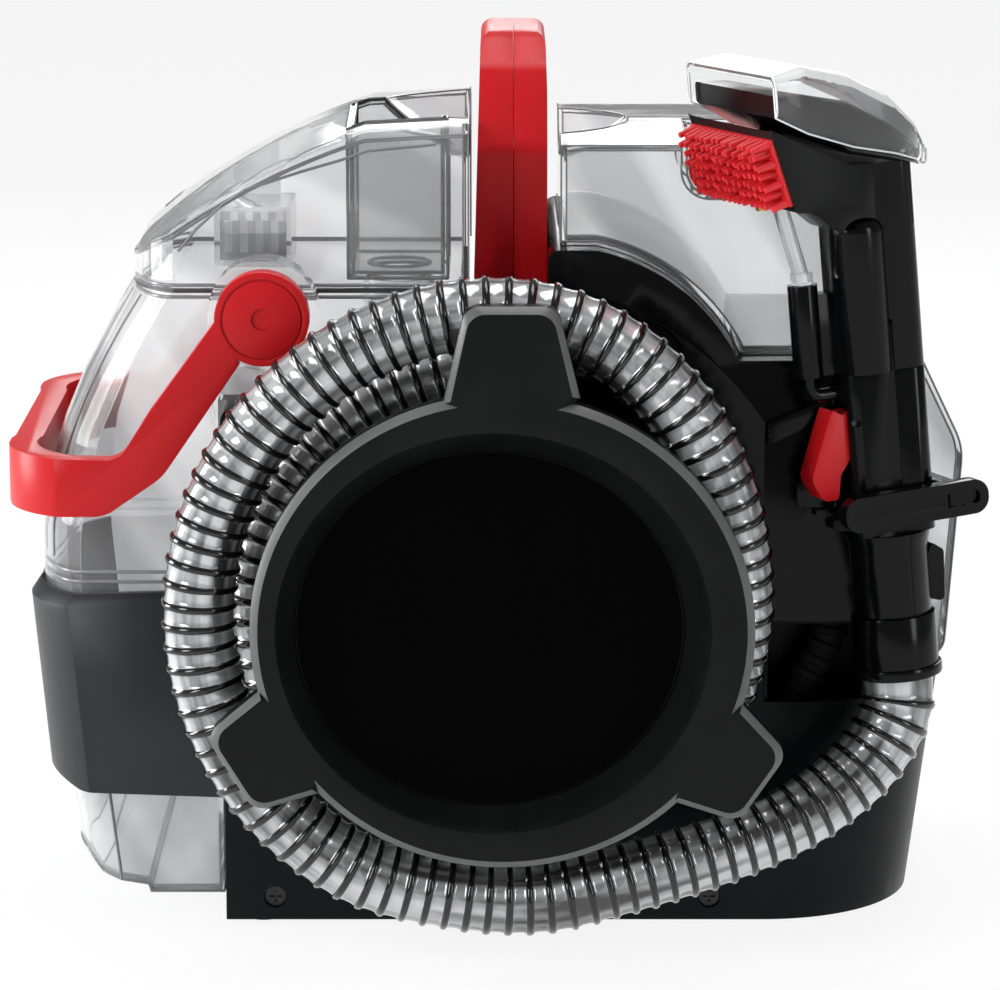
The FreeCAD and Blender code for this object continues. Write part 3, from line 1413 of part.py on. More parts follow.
def spray_tip():
    """Brass spray jet under the brush block, fed by the clear line."""
    tip = Part.makeCone(3.2, 2.0, 4.0, Vector(mouth_x + 12.0, 8.0, brush_low - 0.1), Vector(0, 0, -1))
    return wand_place(tip)


def spray_line():
    """Clear tube from the tool's side tube up to the brush block."""
    start = Vector(side_tube_x, 0, side_tube_top + seam_gap)
    end = Vector(side_tube_x - 9.0, -5.0, 185.0)
    collar = rod(start, Vector(0, 0, 1), 4.2, 4.0)
    low = start + Vector(0, 0, 2.0)
    run = end - low
    return wand_place(collar.fuse(rod(low, run, 3.0, run.Length)))


def tool_holder():
    """Hook on the tower that the wand hangs in; its front bar has a long groove."""
    inner = grip_half_depth + 1.4
    thick = 6.0
    y0 = -inner - thick
    low = 61.0
    high = 74.0
    bar = slab("xz", [(-26, low, 6.0), (-26, high, 6.0), (33, high, 6.0), (33, low, 6.0)], y0, y0 + thick)
    groove = slab("xz", [(-22.5, low + 3.8, 2.4), (-22.5, high - 3.8, 2.4), (29.5, high - 3.8, 2.4),
                         (29.5, low + 3.8, 2.4)], y0 - 1, y0 + 2)
    bar = bar.cut(groove)
    side_x = grip_half_width + 1.4
    arm = block(side_x, side_x + 6, y0 + 1, inner + 4, low + 1, high - 1)
    back = block(-22, side_x + 6, inner, inner + 4, low + 1, high - 1)
    trim = slab("xy", [(-32, y0 - 1), (35, y0 - 1), (side_x + 12, 0), (side_x + 6, inner + 4, 7), (-32, inner + 4)],
                low - 1, high + 1)
    hook = wand_place(bar.fuse(arm.common(trim)).fuse(back.common(trim)))
    foot = block(112, tower_right - 1, front_y - 12, front_y, wand_z + low + 2, wand_z + high - 2)
    room = wand_place(slab("xy", wand_section(-1.4), low - 20, high + 20))
    hook = hook.fuse(foot.cut(room)).cut(block(60, tower_right + seam_gap, front_y, front_y + 80, 100, 240))
    return Part.makeCompound([hook, upper_clip()])


def upper_clip():
    """Sloping clip on the tower behind the trigger that steadies the wand."""
    body = slab("xz", [(101, 191), (101, 199), (126, 210), (131, 210), (131, 203), (126, 203)],
                front_y - 8, front_y)
    return body


# Motor, fan and pump

def motor_can():
    base = Vector(motor_x, motor_y, motor_base)
    up = Vector(0, 0, 1)
    can = tube(base, up, motor_radius, motor_radius - motor_wall, motor_height)
    bottom = tube(base, up, motor_radius, bearing_radius + running_gap, bearing_height)
    top = tube(base + up * (motor_height - bearing_height), up, motor_radius, bearing_radius + running_gap,
               bearing_height)
    holes = []
    for i in range(can_holes):
        turn = math.radians(360.0 * i / can_holes)
        place = Vector(motor_x + 27 * math.cos(turn), motor_y + 27 * math.sin(turn), motor_base - 1)
        holes.append(rod(place, up, 5.0, motor_height + 2))
    return can.fuse(bottom).fuse(top).cut(Part.makeCompound(holes))


def stator():
    low = motor_base + bearing_height + seam_gap
    height = motor_height - 2 * bearing_height - 2 * seam_gap
    outer = motor_radius - motor_wall - running_gap
    return tube(Vector(motor_x, motor_y, low), Vector(0, 0, 1), outer, outer - stator_thickness + 1.0, height)


def rotor_core():
    low = motor_base + bearing_height + 6
    height = motor_height - 2 * bearing_height - 12
    core = tube(Vector(motor_x, motor_y, low), Vector(0, 0, 1), rotor_core_radius, shaft_radius + running_gap, height)
    slots = []
    for i in range(12):
        slot = block(rotor_core_radius - 5, rotor_core_radius + 1, -1.2, 1.2, low - 1, low + height + 1)
        slot.rotate(Vector(0, 0, 0), Vector(0, 0, 1), 30.0 * i)
        slot.translate(Vector(motor_x, motor_y, 0))
        slots.append(slot)
    return core.cut(Part.makeCompound(slots))


def rotor_shaft():
    low = fan_base - 3
    return rod(Vector(motor_x, motor_y, low), Vector(0, 0, 1), shaft_radius, motor_top + 3 - low)


def motor_bearings():
    rings = []
    for low in (motor_base, motor_top - bearing_height):
        rings.append(tube(Vector(motor_x, motor_y, low), Vector(0, 0, 1), bearing_radius,
                          shaft_radius + running_gap, bearing_height))
    return Part.makeCompound(rings)


def fan_impeller():
    """Back plate with a hub and curved blades."""
    up = Vector(0, 0, 1)
    centre = Vector(motor_x, motor_y, fan_base)
    plate = rod(centre, up, fan_radius, 2.0)
    hub = rod(centre, up, 10.0, 16.0)
    body = plate.fuse(hub)
    for i in range(fan_blades):
        blade = slab("xy", [(8, -1), ("via", 28, 5), (fan_radius - 2, 0), (fan_radius - 1, 1.4), ("via", 28, 6.6),
                            (8, 0.8)], fan_base + 2, fan_base + 14)
        blade.rotate(Vector(0, 0, 0), up, 360.0 * i / fan_blades)
        blade.translate(Vector(motor_x, motor_y, 0))
        body = body.fuse(blade)
    return body.cut(rod(centre - up, up, shaft_radius + running_gap, 20))


def fan_housing():
    up = Vector(0, 0, 1)
    base = Vector(motor_x, motor_y, volute_base)
    height = motor_base - volute_base - rubber_height
    cup = tube(base, up, volute_radius, volute_radius - 2.5, height)
    floor = tube(base, up, volute_radius, fan_eye, 2.5)
    lid = tube(base + up * (height - 2.5), up, volute_radius, shaft_radius + 3.0, 2.5)
    end = motor_y + volute_radius + 1.0
    outlet = slab("xy", [(motor_x - 20, motor_y + volute_radius - 6), (motor_x - 20, end),
                         (motor_x - 50, end), (motor_x - 50, motor_y + 24)], volute_base, volute_base + height)
    room = slab("xy", [(motor_x - 22.5, motor_y + volute_radius - 8), (motor_x - 22.5, end + 1),
                       (motor_x - 47.5, end + 1), (motor_x - 47.5, motor_y + 27)], volute_base + 2.5,
                volute_base + height - 2.5)
    core = rod(base + up * 2.5, up, volute_radius - 2.5, height - 5)
    eye = rod(base - up, up, fan_eye, 5)
    return cup.fuse(floor).fuse(lid).fuse(outlet).cut(room).cut(core).cut(eye)


def motor_mount():
    low = motor_base - rubber_height
    return tube(Vector(motor_x, motor_y, low), Vector(0, 0, 1), motor_radius - 1, motor_radius - 8, rubber_height)


def pump():
    """Solution pump with its round motor end and two spigots."""
    low = base_bottom + wall
    body = slab("xy", [(pump_x - pump_width / 2, pump_y - pump_depth / 2, 4),
                       (pump_x + pump_width / 2, pump_y - pump_depth / 2, 4),
                       (pump_x + pump_width / 2, pump_y + pump_depth / 2, 4),
                       (pump_x - pump_width / 2, pump_y + pump_depth / 2, 4)], low, low + pump_height)
    head = rod(Vector(pump_x, pump_y, low + pump_height), Vector(0, 0, 1), 12.0, 5)
    inlet = rod(Vector(pump_x + pump_width / 2, pump_y, low + 30), Vector(1, 0, 0), line_radius + 0.8, 6)
    outlet = rod(Vector(pump_x - 6, pump_y - pump_depth / 2, low + 34), Vector(0, -1, 0), line_radius + 0.8, 6)
    return body.fuse(head).fuse(inlet).fuse(outlet)


def bent_line(points, bend, radius):
    """Round tube along straight runs joined by quarter turns."""
    edges = []
    start = points[0]
    for i in range(1, len(points) - 1):
        here = points[i]
        back = (points[i - 1] - here).normalize()
        ahead = (points[i + 1] - here).normalize()
        enter = here + back * bend
        leave = here + ahead * bend
        middle = here + (back + ahead) * (bend * (1 - math.sqrt(0.5)))
        edges.append(Part.LineSegment(start, enter).toShape())
        edges.append(Part.Arc(enter, middle, leave).toShape())
        start = leave
    edges.append(Part.LineSegment(start, points[-1]).toShape())
    profile = Part.Wire(Part.Circle(points[0], (points[1] - points[0]).normalize(), radius).toShape())
    return Part.Wire(edges).makePipeShell([profile], True, False)


def supply_line():
    """Tube from the valve seat down to the pump."""
    low = base_bottom + wall + 30
    start = Vector(seat_x - 2, seat_y, base_top - 10.0 - seam_gap)
    corner = Vector(seat_x - 2, seat_y, low)
    side = Vector(seat_x - 2, pump_y, low)
    end = Vector(pump_x + pump_width / 2 + 6 + seam_gap, pump_y, low)
    if abs(seat_y - pump_y) < 12:
        corner = Vector(seat_x - 2, seat_y, low)
        end = Vector(pump_x + pump_width / 2 + 6 + seam_gap, seat_y, low)
        return bent_line([start, corner, end], 8.0, line_radius)
    return bent_line([start, corner, side, end], 5.0, line_radius)


def delivery_line():
    """Tube from the pump forward and up to the boot."""
    low = base_bottom + wall + 34
    y = front_y + recess_depth / 2
    x = recess_left + liner_wall + boot_radius + 0.6
    start = Vector(pump_x - 6, pump_y - pump_depth / 2 - 6 - seam_gap, low)
    corner = Vector(pump_x - 6, y, low)
    end = Vector(pump_x - 6, y, recess_bottom)
    return bent_line([start, corner, end], 8.0, line_radius)


def solution_lines():
    return Part.makeCompound([supply_line(), delivery_line()])


# Back of the machine

def cord_hook(z, up):
    """Hook for winding the mains cord: a stem and an upright arm."""
    way = 1.0 if up else -1.0
    stem = rod(Vector(hook_x, rear_y, z), Vector(0, 1, 0), hook_radius, hook_reach - 5)
    y0 = rear_y + hook_reach - 5
    arm = slab("xz", [(hook_x - 8, z - way * 9, 5), (hook_x + 8, z - way * 9, 5),
                      (hook_x + 8, z + way * hook_arm * 0.6, 7), (hook_x - 8, z + way * hook_arm * 0.6, 7)],
               y0, y0 + 4.0)
    return stem.fuse(arm)


def upper_cord_hook():
    hook = cord_hook(upper_hook_z, True)
    hook.translate(Vector(0, seam_gap, 0))
    return hook


def switch_rocker():
    """Rocker of the power switch, resting at off."""
    half_w = switch_width / 2 - 0.5
    half_h = switch_height / 2 - 1.6
    body = slab("yz", [(rear_y - 3.5, switch_z - half_h), (rear_y + 1.4, switch_z - half_h, 1),
                       (rear_y + 0.6, switch_z), (rear_y + 1.4, switch_z + half_h, 1),
                       (rear_y - 3.5, switch_z + half_h)], switch_x - half_w, switch_x + half_w)
    pivot = Vector(switch_x, rear_y - 2.0, switch_z)
    body.rotate(pivot, Vector(1, 0, 0), switch_tilt)
    reach = switch_width / 2 + 0.6
    return body.fuse(rod(pivot - Vector(reach, 0, 0), Vector(1, 0, 0), switch_pin, reach * 2))


def switch_bezel():
    """Frame and cell of the power switch."""
    w = switch_width / 2
    h = switch_height / 2
    y1 = rear_y + 1.6
    frame = block(switch_x - w - 2, switch_x + w + 2, rear_y, y1, switch_z - h - 2, switch_z + h + 2)
    frame = frame.cut(block(switch_x - w + 0.2, switch_x + w - 0.2, rear_y - 1, y1 + 1, switch_z - h + 0.2,
                            switch_z + h - 0.2))
    cell = block(switch_x - w + 0.2 - 1, switch_x + w + 0.8, rear_y - 20, rear_y - 6.5, switch_z - h, switch_z + h)
    pivot = rod(Vector(switch_x - w - 2, rear_y - 2.0, switch_z), Vector(1, 0, 0), switch_pin + running_gap,
                switch_width + 4)
    ears = block(switch_x - w - 1, switch_x - w + 0.2, rear_y - 8, rear_y, switch_z - h, switch_z + h)
    other = block(switch_x + w - 0.2, switch_x + w + 1, rear_y - 8, rear_y, switch_z - h, switch_z + h)
    return frame.fuse(cell).fuse(ears).fuse(other).cut(pivot)


def cord_gland():
    """Inlet for the mains cord, which the photograph doesn't show."""
    flange = rod(Vector(gland_x, rear_y, gland_z), Vector(0, 1, 0), gland_radius, 3.0)
    neck = Part.makeCone(gland_radius - 1.5, gland_radius - 3.5, 9, Vector(gland_x, rear_y + 3, gland_z),
                         Vector(0, 1, 0))
    root = rod(Vector(gland_x, rear_y - wall - 4, gland_z), Vector(0, 1, 0), gland_radius - 2.5 - running_gap,
               wall + 4)
    bore = rod(Vector(gland_x, rear_y - 20, gland_z), Vector(0, 1, 0), cord_bore, 60)
    return flange.fuse(neck).fuse(root).cut(bore)


def build():
    os.makedirs("parts", exist_ok=True)
    pieces = [
        ("base_housing", base_housing()),
        ("base_pan", base_pan()),
        ("rubber_feet", rubber_feet()),
        ("tower_housing", tower_housing()),
        ("tank_collar", tank_collar()),
        ("rear_cover", rear_cover()),
        ("recess_liner", recess_liner()),
        ("housing_screws", housing_screws()),
        ("hose_plate", hose_plate()),
        ("hub_drum", hub_drum()),
        ("hub_face", hub_face()),
        ("hub_dish", hub_dish()),
        ("hose_port", hose_port()),
        ("suction_duct", suction_duct()),
        ("hose", hose()),
        ("solution_boot", solution_boot()),
        ("dirty_bucket", dirty_bucket()),
        ("tank_gasket", tank_gasket()),
        ("dirty_lid", dirty_lid()),
        ("inlet_duct", inlet_duct()),
        ("float_cage", float_cage()),
        ("shutoff_float", shutoff_float()),
        ("tank_bail", tank_bail()),
        ("bail_pins", bail_pins()),
        ("clean_tank", clean_tank()),
        ("fill_cap", fill_cap()),
        ("cap_seal", cap_seal()),
        ("tank_valve", tank_valve()),
        ("valve_seat", valve_seat()),
        ("carry_handle_left", handle_half(True)),
        ("carry_handle_right", handle_half(False)),
        ("hose_cuff", hose_cuff()),
        ("grip_front_half", grip_half(True)),
        ("grip_rear_half", grip_half(False)),
        ("grip_lugs", grip_lugs()),
        ("trigger", trigger()),
        ("trigger_pin", trigger_pin()),
        ("trigger_spring", trigger_spring()),
        ("solution_elbow", solution_elbow()),
        ("tool_body", tool_body()),
        ("tool_window", tool_window()),
        ("brush_block", brush_block()),
        ("brush_bristles", brush_bristles()),
        ("spray_tip", spray_tip()),
        ("spray_line", spray_line()),
        ("tool_holder", tool_holder()),
        ("motor_can", motor_can()),
        ("stator", stator()),
        ("rotor_core", rotor_core()),
        ("rotor_shaft", rotor_shaft()),
        ("motor_bearings", motor_bearings()),
        ("fan_impeller", fan_impeller()),
        ("fan_housing", fan_housing()),
        ("motor_mount", motor_mount()),
        ("pump", pump()),
        ("solution_lines", solution_lines()),
        ("upper_cord_hook", upper_cord_hook()),
        ("switch_bezel", switch_bezel()),
        ("switch_rocker", switch_rocker()),
        ("cord_gland", cord_gland()),
    ]
    for name, shape in pieces:
        save(name, shape)


build()
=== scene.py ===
"""Portable spot extractor: materials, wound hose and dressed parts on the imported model."""

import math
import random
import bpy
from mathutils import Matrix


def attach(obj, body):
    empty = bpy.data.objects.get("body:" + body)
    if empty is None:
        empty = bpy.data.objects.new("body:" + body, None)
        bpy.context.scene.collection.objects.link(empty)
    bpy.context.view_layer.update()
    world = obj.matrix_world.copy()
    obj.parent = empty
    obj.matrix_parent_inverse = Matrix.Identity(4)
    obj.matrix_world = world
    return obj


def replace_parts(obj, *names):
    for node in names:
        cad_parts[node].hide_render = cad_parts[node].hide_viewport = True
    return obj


bl_info = {
    "name": "Spot Extractor",
    "version": (1, 0, 0),
    "blender": (4, 5, 0),
    "location": "View3D > Sidebar > Extractor",
    "description": "Dresses the packed spot extractor with its hose, tanks, wand and finishes",
    "category": "Object",
}

import bmesh
import bpy
from mathutils import Matrix, Vector

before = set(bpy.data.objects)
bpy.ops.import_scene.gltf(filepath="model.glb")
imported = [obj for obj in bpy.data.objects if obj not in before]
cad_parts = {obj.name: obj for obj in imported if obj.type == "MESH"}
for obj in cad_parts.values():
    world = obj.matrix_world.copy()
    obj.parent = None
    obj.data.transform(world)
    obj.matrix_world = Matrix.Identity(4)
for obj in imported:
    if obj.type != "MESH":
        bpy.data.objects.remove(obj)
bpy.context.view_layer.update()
millimetre = 0.001
shared = {}
finishes = {}

# Joining and smoothing of the dressed pieces, in metres and radians
join_distance = 0.000002
seam_distance = 0.000001
flat_within = math.radians(0.6)
smooth_below = math.radians(35)
round_above = math.radians(38)
rail_sides = 8
line_sides = 6

# Hub and hose, in millimetres, apart from the hub's middle, which is in metres
hub_middle = Vector((0.0, 0.0, 0.1335))
hub_height = 133.5
elbow_y = -66.5
elbow_z = 222.0
elbow_run = (34.0, 22.0, 12.0)
outer_coil_y = -96.0
coil_start = 97
coil_end = 620
coil_step = 15

# Ends and beads of the hose, in metres
plain_end = 0.0235
bead_width = 0.0026
bead_fall = 0.00035

# Free end of the dirty tank at its seam and down to its foot, in millimetres
seam_left = -139.5
tank_front = -40.0
tank_rear = 94.0
rim_end = -14.0
corner_wide = 16.0
corner_deep = 45.0
corner_start = 17.0
foot_left = -176.5
lean_in = 37.0
lean_from = 150.5
lean_rise = 96.0
lean_power = 1.74
rear_wall_from = 0.088

# Wand frame and slanted brush face, in degrees and millimetres
wand_turn = 21.0
wand_lean = 5.0
wand_foot = (150.6, -64.0, 105.0)
face_x = -52.0
face_z = 217.0
face_across = 0.246
face_down = 0.969

# Rows of bristles and the strip that they stand on, in millimetres
bristle_rows = 7
bristle_columns = 15
first_row = 5.4
row_gap = 3.75
column_gap = 4.7
row_stagger = 1.1
strip_middle = 16.7
strip_end = 29.4
strip_half = 36.0
strip_base = 0.6
strip_top = 1.2

# Camera, in millimetres of lens, degrees and metres
camera_lens = 156.52
camera_rise = 12.0
camera_distance = 1.7
camera_target = Vector((0.0, 0.0, 0.16))


# Settings a user would change

class HoseSettings(bpy.types.PropertyGroup):
    """Beads and bands of the ribbed hose"""
    pitch: bpy.props.FloatProperty(name="Rib pitch", description="Distance between two beads of the hose",
                                   default=0.0076, min=0.004, max=0.02, unit="LENGTH")
    crest: bpy.props.FloatProperty(name="Bead radius", description="Radius over the beads",
                                   default=0.0143, min=0.01, max=0.0145, unit="LENGTH")
    band: bpy.props.FloatProperty(name="Band radius", description="Radius of the clear band between two beads",
                                  default=0.0133, min=0.01, max=0.014, unit="LENGTH")
    sides: bpy.props.IntProperty(name="Sides", description="Faces round the hose", default=32, min=12, max=48)


class EdgeSettings(bpy.types.PropertyGroup):
    """Widths of the rounded edges"""
    shell: bpy.props.FloatProperty(name="Housing edge", description="Width of the rounded edges of the housing",
                                   default=0.0012, min=0.0, max=0.003, unit="LENGTH")
    handle: bpy.props.FloatProperty(name="Handle edge", description="Width of the rounded edges of the red handles",
                                    default=0.0022, min=0.0, max=0.004, unit="LENGTH")
    small: bpy.props.FloatProperty(name="Small edge", description="Width of the rounded edges of small parts",
                                   default=0.0006, min=0.0, max=0.002, unit="LENGTH")


class FinishSettings(bpy.types.PropertyGroup):
    """Colours of the main finishes"""
    shell: bpy.props.FloatVectorProperty(name="Housing", description="Colour of the glossy housing",
                                         subtype="COLOR", size=3, default=(0.0022, 0.0024, 0.0028), min=0, max=1)
    collar: bpy.props.FloatVectorProperty(name="Collar", description="Colour of the satin collar and base",
                                          subtype="COLOR", size=3, default=(0.0135, 0.016, 0.0185), min=0, max=1)
    hub: bpy.props.FloatVectorProperty(name="Hub", description="Colour of the hose hub",
                                       subtype="COLOR", size=3, default=(0.0052, 0.0056, 0.0055), min=0, max=1)
    red: bpy.props.FloatVectorProperty(name="Red", description="Colour of the handles, cap and trigger",
                                       subtype="COLOR", size=3, default=(0.50, 0.0085, 0.012), min=0, max=1)
    floor: bpy.props.FloatVectorProperty(name="Floor", description="Colour of the floor and backdrop",
                                         subtype="COLOR", size=3, default=(1.0, 1.0, 1.0), min=0, max=1)


# Node groups shared by the finishes

def new_group(name, inputs, outputs):
    """An empty shader group with its sockets, and its input and output nodes."""
    group = bpy.data.node_groups.new(name, "ShaderNodeTree")
    for label, kind, value in inputs:
        socket = group.interface.new_socket(name=label, in_out="INPUT", socket_type=kind)
        socket.default_value = value
    for label, kind in outputs:
        group.interface.new_socket(name=label, in_out="OUTPUT", socket_type=kind)
    return group, group.nodes.new("NodeGroupInput"), group.nodes.new("NodeGroupOutput")


def math_node(tree, operation, a, b=None, clamp=False):
    """Output of a math node whose inputs are numbers or sockets."""
    node = tree.nodes.new("ShaderNodeMath")
    node.operation = operation
    node.use_clamp = clamp
    for index, value in enumerate((a, b)):
        if value is None:
            continue
        if isinstance(value, (int, float)):
            node.inputs[index].default_value = value
        else:
            tree.links.new(value, node.inputs[index])
    return node.outputs[0]


def noise_node(tree, scale, detail, vector):
    """Output of a noise texture whose scale is a number or a socket."""
    node = tree.nodes.new("ShaderNodeTexNoise")
    if isinstance(scale, (int, float)):
        node.inputs["Scale"].default_value = scale
    else:
        tree.links.new(scale, node.inputs["Scale"])
    node.inputs["Detail"].default_value = detail
    tree.links.new(vector, node.inputs["Vector"])
    return node.outputs["Fac"]


def range_node(tree, value, from_low, from_high, to_low, to_high):
    """A value carried over from one range to another."""
    node = tree.nodes.new("ShaderNodeMapRange")
    tree.links.new(value, node.inputs["Value"])
    limits = (("From Min", from_low), ("From Max", from_high), ("To Min", to_low), ("To Max", to_high))
    for label, number in limits:
        if isinstance(number, (int, float)):
            node.inputs[label].default_value = number
        else:
            tree.links.new(number, node.inputs[label])
    return node.outputs["Result"]


def moulded_grain():
    """Fine spark grain of a moulded surface and the slow waviness under it."""
    group, inside, outside = new_group(
        "Moulded Grain", [("Grain", "NodeSocketFloat", 2600.0), ("Wave", "NodeSocketFloat", 45.0)],
        [("Height", "NodeSocketFloat"), ("Patch", "NodeSocketFloat")])
    place = group.nodes.new("ShaderNodeTexCoord").outputs["Object"]
    grain = noise_node(group, inside.outputs["Grain"], 2.0, place)
    wave = noise_node(group, inside.outputs["Wave"], 1.0, place)
    fine = math_node(group, "MULTIPLY", grain, 0.6)
    slow = math_node(group, "MULTIPLY", wave, 0.4)
    height = math_node(group, "ADD", fine, slow)
    group.links.new(height, outside.inputs["Height"])
    group.links.new(wave, outside.inputs["Patch"])
    return group


def handling_marks():
    """Faint smears and dust that handling leaves, as a change of roughness."""
    group, inside, outside = new_group(
        "Handling Marks",
        [("Scale", "NodeSocketFloat", 30.0), ("Base", "NodeSocketFloat", 0.2), ("Change", "NodeSocketFloat", 0.08)],
        [("Roughness", "NodeSocketFloat"), ("Mask", "NodeSocketFloat")])
    place = group.nodes.new("ShaderNodeTexCoord").outputs["Object"]
    smear = noise_node(group, inside.outputs["Scale"], 4.0, place)
    mask = range_node(group, smear, 0.42, 0.68, 0.0, 1.0)
    fine = noise_node(group, 900.0, 1.0, place)
    smeared = math_node(group, "MULTIPLY", mask, 0.8)
    dusty = math_node(group, "MULTIPLY", fine, 0.2)
    both = math_node(group, "ADD", smeared, dusty)
    change = math_node(group, "MULTIPLY", both, inside.outputs["Change"])
    group.links.new(math_node(group, "ADD", change, inside.outputs["Base"]), outside.inputs["Roughness"])
    group.links.new(mask, outside.inputs["Mask"])
    return group


def group_node(tree, key, **values):
    """A node of a shared group, which is made at its first use."""
    if key not in shared:
        shared[key] = {"grain": moulded_grain, "marks": handling_marks, "streaks": tank_painted_streaks}[key]()
    node = tree.nodes.new("ShaderNodeGroup")
    node.node_tree = shared[key]
    for label, value in values.items():
        node.inputs[label].default_value = value
    return node


def new_finish(name):
    """A new material, its node tree and its main shader."""
    material = bpy.data.materials.new(name)
    material.use_nodes = True
    tree = material.node_tree
    return material, tree, tree.nodes["Principled BSDF"]


def tinted(tree, shader, colour, mask, other):
    """Base colour that shifts from one tone to another by a mask."""
    mix = tree.nodes.new("ShaderNodeMix")
    mix.data_type = "RGBA"
    mix.inputs["A"].default_value = (*colour, 1.0)
    mix.inputs["B"].default_value = (*other, 1.0)
    tree.links.new(mask, mix.inputs["Factor"])
    tree.links.new(mix.outputs["Result"], shader.inputs["Base Color"])


def raised(tree, shader, height, strength, distance):
    """Fine relief from a height."""
    bump = tree.nodes.new("ShaderNodeBump")
    bump.inputs["Strength"].default_value = strength
    bump.inputs["Distance"].default_value = distance
    tree.links.new(height, bump.inputs["Height"])
    tree.links.new(bump.outputs["Normal"], shader.inputs["Normal"])


def plastic(name, colour, roughness, change, grain_strength, coat=0.0, lighten=1.35, shine=0.5):
    """Moulded opaque plastic with grain, handling marks and a slight change of tone."""
    material, tree, shader = new_finish(name)
    marks = group_node(tree, "marks", Base=roughness, Change=change)
    grain = group_node(tree, "grain", Wave=45.0)
    tree.links.new(marks.outputs["Roughness"], shader.inputs["Roughness"])
    tinted(tree, shader, colour, marks.outputs["Mask"], tuple(min(1.0, c * lighten) for c in colour))
    raised(tree, shader, grain.outputs["Height"], grain_strength, 0.0002)
    shader.inputs["IOR"].default_value = 1.5
    shader.inputs["Specular IOR Level"].default_value = shine
    shader.inputs["Coat Weight"].default_value = coat
    shader.inputs["Coat Roughness"].default_value = 0.06
    return material


def clear_plastic(name, colour, roughness, change, transmission, ior):
    """Clear or lightly frosted plastic."""
    material, tree, shader = new_finish(name)
    marks = group_node(tree, "marks", Base=roughness, Change=change, Scale=18.0)
    grain = group_node(tree, "grain", Wave=25.0)
    tree.links.new(marks.outputs["Roughness"], shader.inputs["Roughness"])
    raised(tree, shader, grain.outputs["Patch"], 0.12, 0.0006)
    shader.inputs["Base Color"].default_value = (*colour, 1.0)
    shader.inputs["Transmission Weight"].default_value = transmission
    shader.inputs["IOR"].default_value = ior
    return material


def frosted_wall_painted_glow(name, colour, roughness, transmission, glow):
    """Wall that is frosted and carries a painted glow, as if lit from inside the tank, and clear when seen from
    behind.
    """
    material, tree, shader = new_finish(name)
    marks = group_node(tree, "marks", Base=roughness, Change=0.1, Scale=18.0)
    behind = tree.nodes.new("ShaderNodeNewGeometry").outputs["Backfacing"]
    tree.links.new(marks.outputs["Roughness"], shader.inputs["Roughness"])
    tinted(tree, shader, colour, marks.outputs["Mask"], tuple(c * 0.94 for c in colour))
    clearness = range_node(tree, behind, 0.0, 1.0, transmission, 0.95)
    tree.links.new(clearness, shader.inputs["Transmission Weight"])
    # Painted glow: front faces emit their own pale light, standing in for light through the tank; no lamp is there
    light = range_node(tree, behind, 0.0, 1.0, glow, 0.0)
    tree.links.new(light, shader.inputs["Emission Strength"])
    shader.inputs["Emission Color"].default_value = (*colour, 1.0)
    shader.inputs["IOR"].default_value = 1.3
    return material


def tank_painted_streaks():
    """Slanted soft streaks of painted reflection that follow the lean of the tank's free end, and a haze that fades
    upwards.
    """
    group, inside, outside = new_group(
        "Tank Streaks", [("Turn", "NodeSocketFloat", 0.0), ("Fine", "NodeSocketFloat", 1.0)],
        [("Streak", "NodeSocketFloat"), ("Haze", "NodeSocketFloat")])
    place = group.nodes.new("ShaderNodeTexCoord").outputs["Object"]
    turned = group.nodes.new("ShaderNodeVectorRotate")
    turned.rotation_type = "Y_AXIS"
    group.links.new(place, turned.inputs["Vector"])
    group.links.new(inside.outputs["Turn"], turned.inputs["Angle"])
    stretched = group.nodes.new("ShaderNodeVectorMath")
    stretched.operation = "MULTIPLY"
    stretched.inputs[1].default_value = (34.0, 9.0, 5.0)
    group.links.new(turned.outputs["Vector"], stretched.inputs[0])
    painted_streak = noise_node(group, inside.outputs["Fine"], 1.5, stretched.outputs["Vector"])
    group.links.new(range_node(group, painted_streak, 0.40, 0.62, 0.0, 1.0), outside.inputs["Streak"])
    split = group.nodes.new("ShaderNodeSeparateXYZ")
    group.links.new(place, split.inputs["Vector"])
    group.links.new(range_node(group, split.outputs["Z"], 0.02, 0.25, 1.0, 0.0), outside.inputs["Haze"])
    return group


def tank_plastic(name, pale, grey, clearness, change, ior, turn):
    """Clear tank plastic with slanted painted reflection streaks of grey and a light haze."""
    material, tree, shader = new_finish(name)
    streaks = group_node(tree, "streaks", Turn=turn)
    marks = group_node(tree, "marks", Base=0.02, Change=0.04, Scale=18.0)
    tree.links.new(marks.outputs["Roughness"], shader.inputs["Roughness"])
    # Base colour shifts from pale to grey along the slanted streaks: painted reflection
    tinted(tree, shader, pale, streaks.outputs["Streak"], grey)
    haze = math_node(tree, "MULTIPLY", streaks.outputs["Haze"], -change)
    through = math_node(tree, "ADD", haze, clearness)
    tree.links.new(through, shader.inputs["Transmission Weight"])
    shader.inputs["IOR"].default_value = ior
    return material


def metal(name, colour, roughness, stretch):
    """Plain metal with fine drawn lines along one way."""
    material, tree, shader = new_finish(name)
    coords = tree.nodes.new("ShaderNodeTexCoord")
    mapping = tree.nodes.new("ShaderNodeMapping")
    mapping.inputs["Scale"].default_value = stretch
    tree.links.new(coords.outputs["Object"], mapping.inputs["Vector"])
    lines = noise_node(tree, 900.0, 3.0, mapping.outputs["Vector"])
    drawn = range_node(tree, lines, 0.3, 0.7, roughness - 0.08, roughness + 0.12)
    tree.links.new(drawn, shader.inputs["Roughness"])
    tinted(tree, shader, colour, lines, tuple(c * 0.8 for c in colour))
    raised(tree, shader, lines, 0.15, 0.0001)
    shader.inputs["Metallic"].default_value = 1.0
    return material


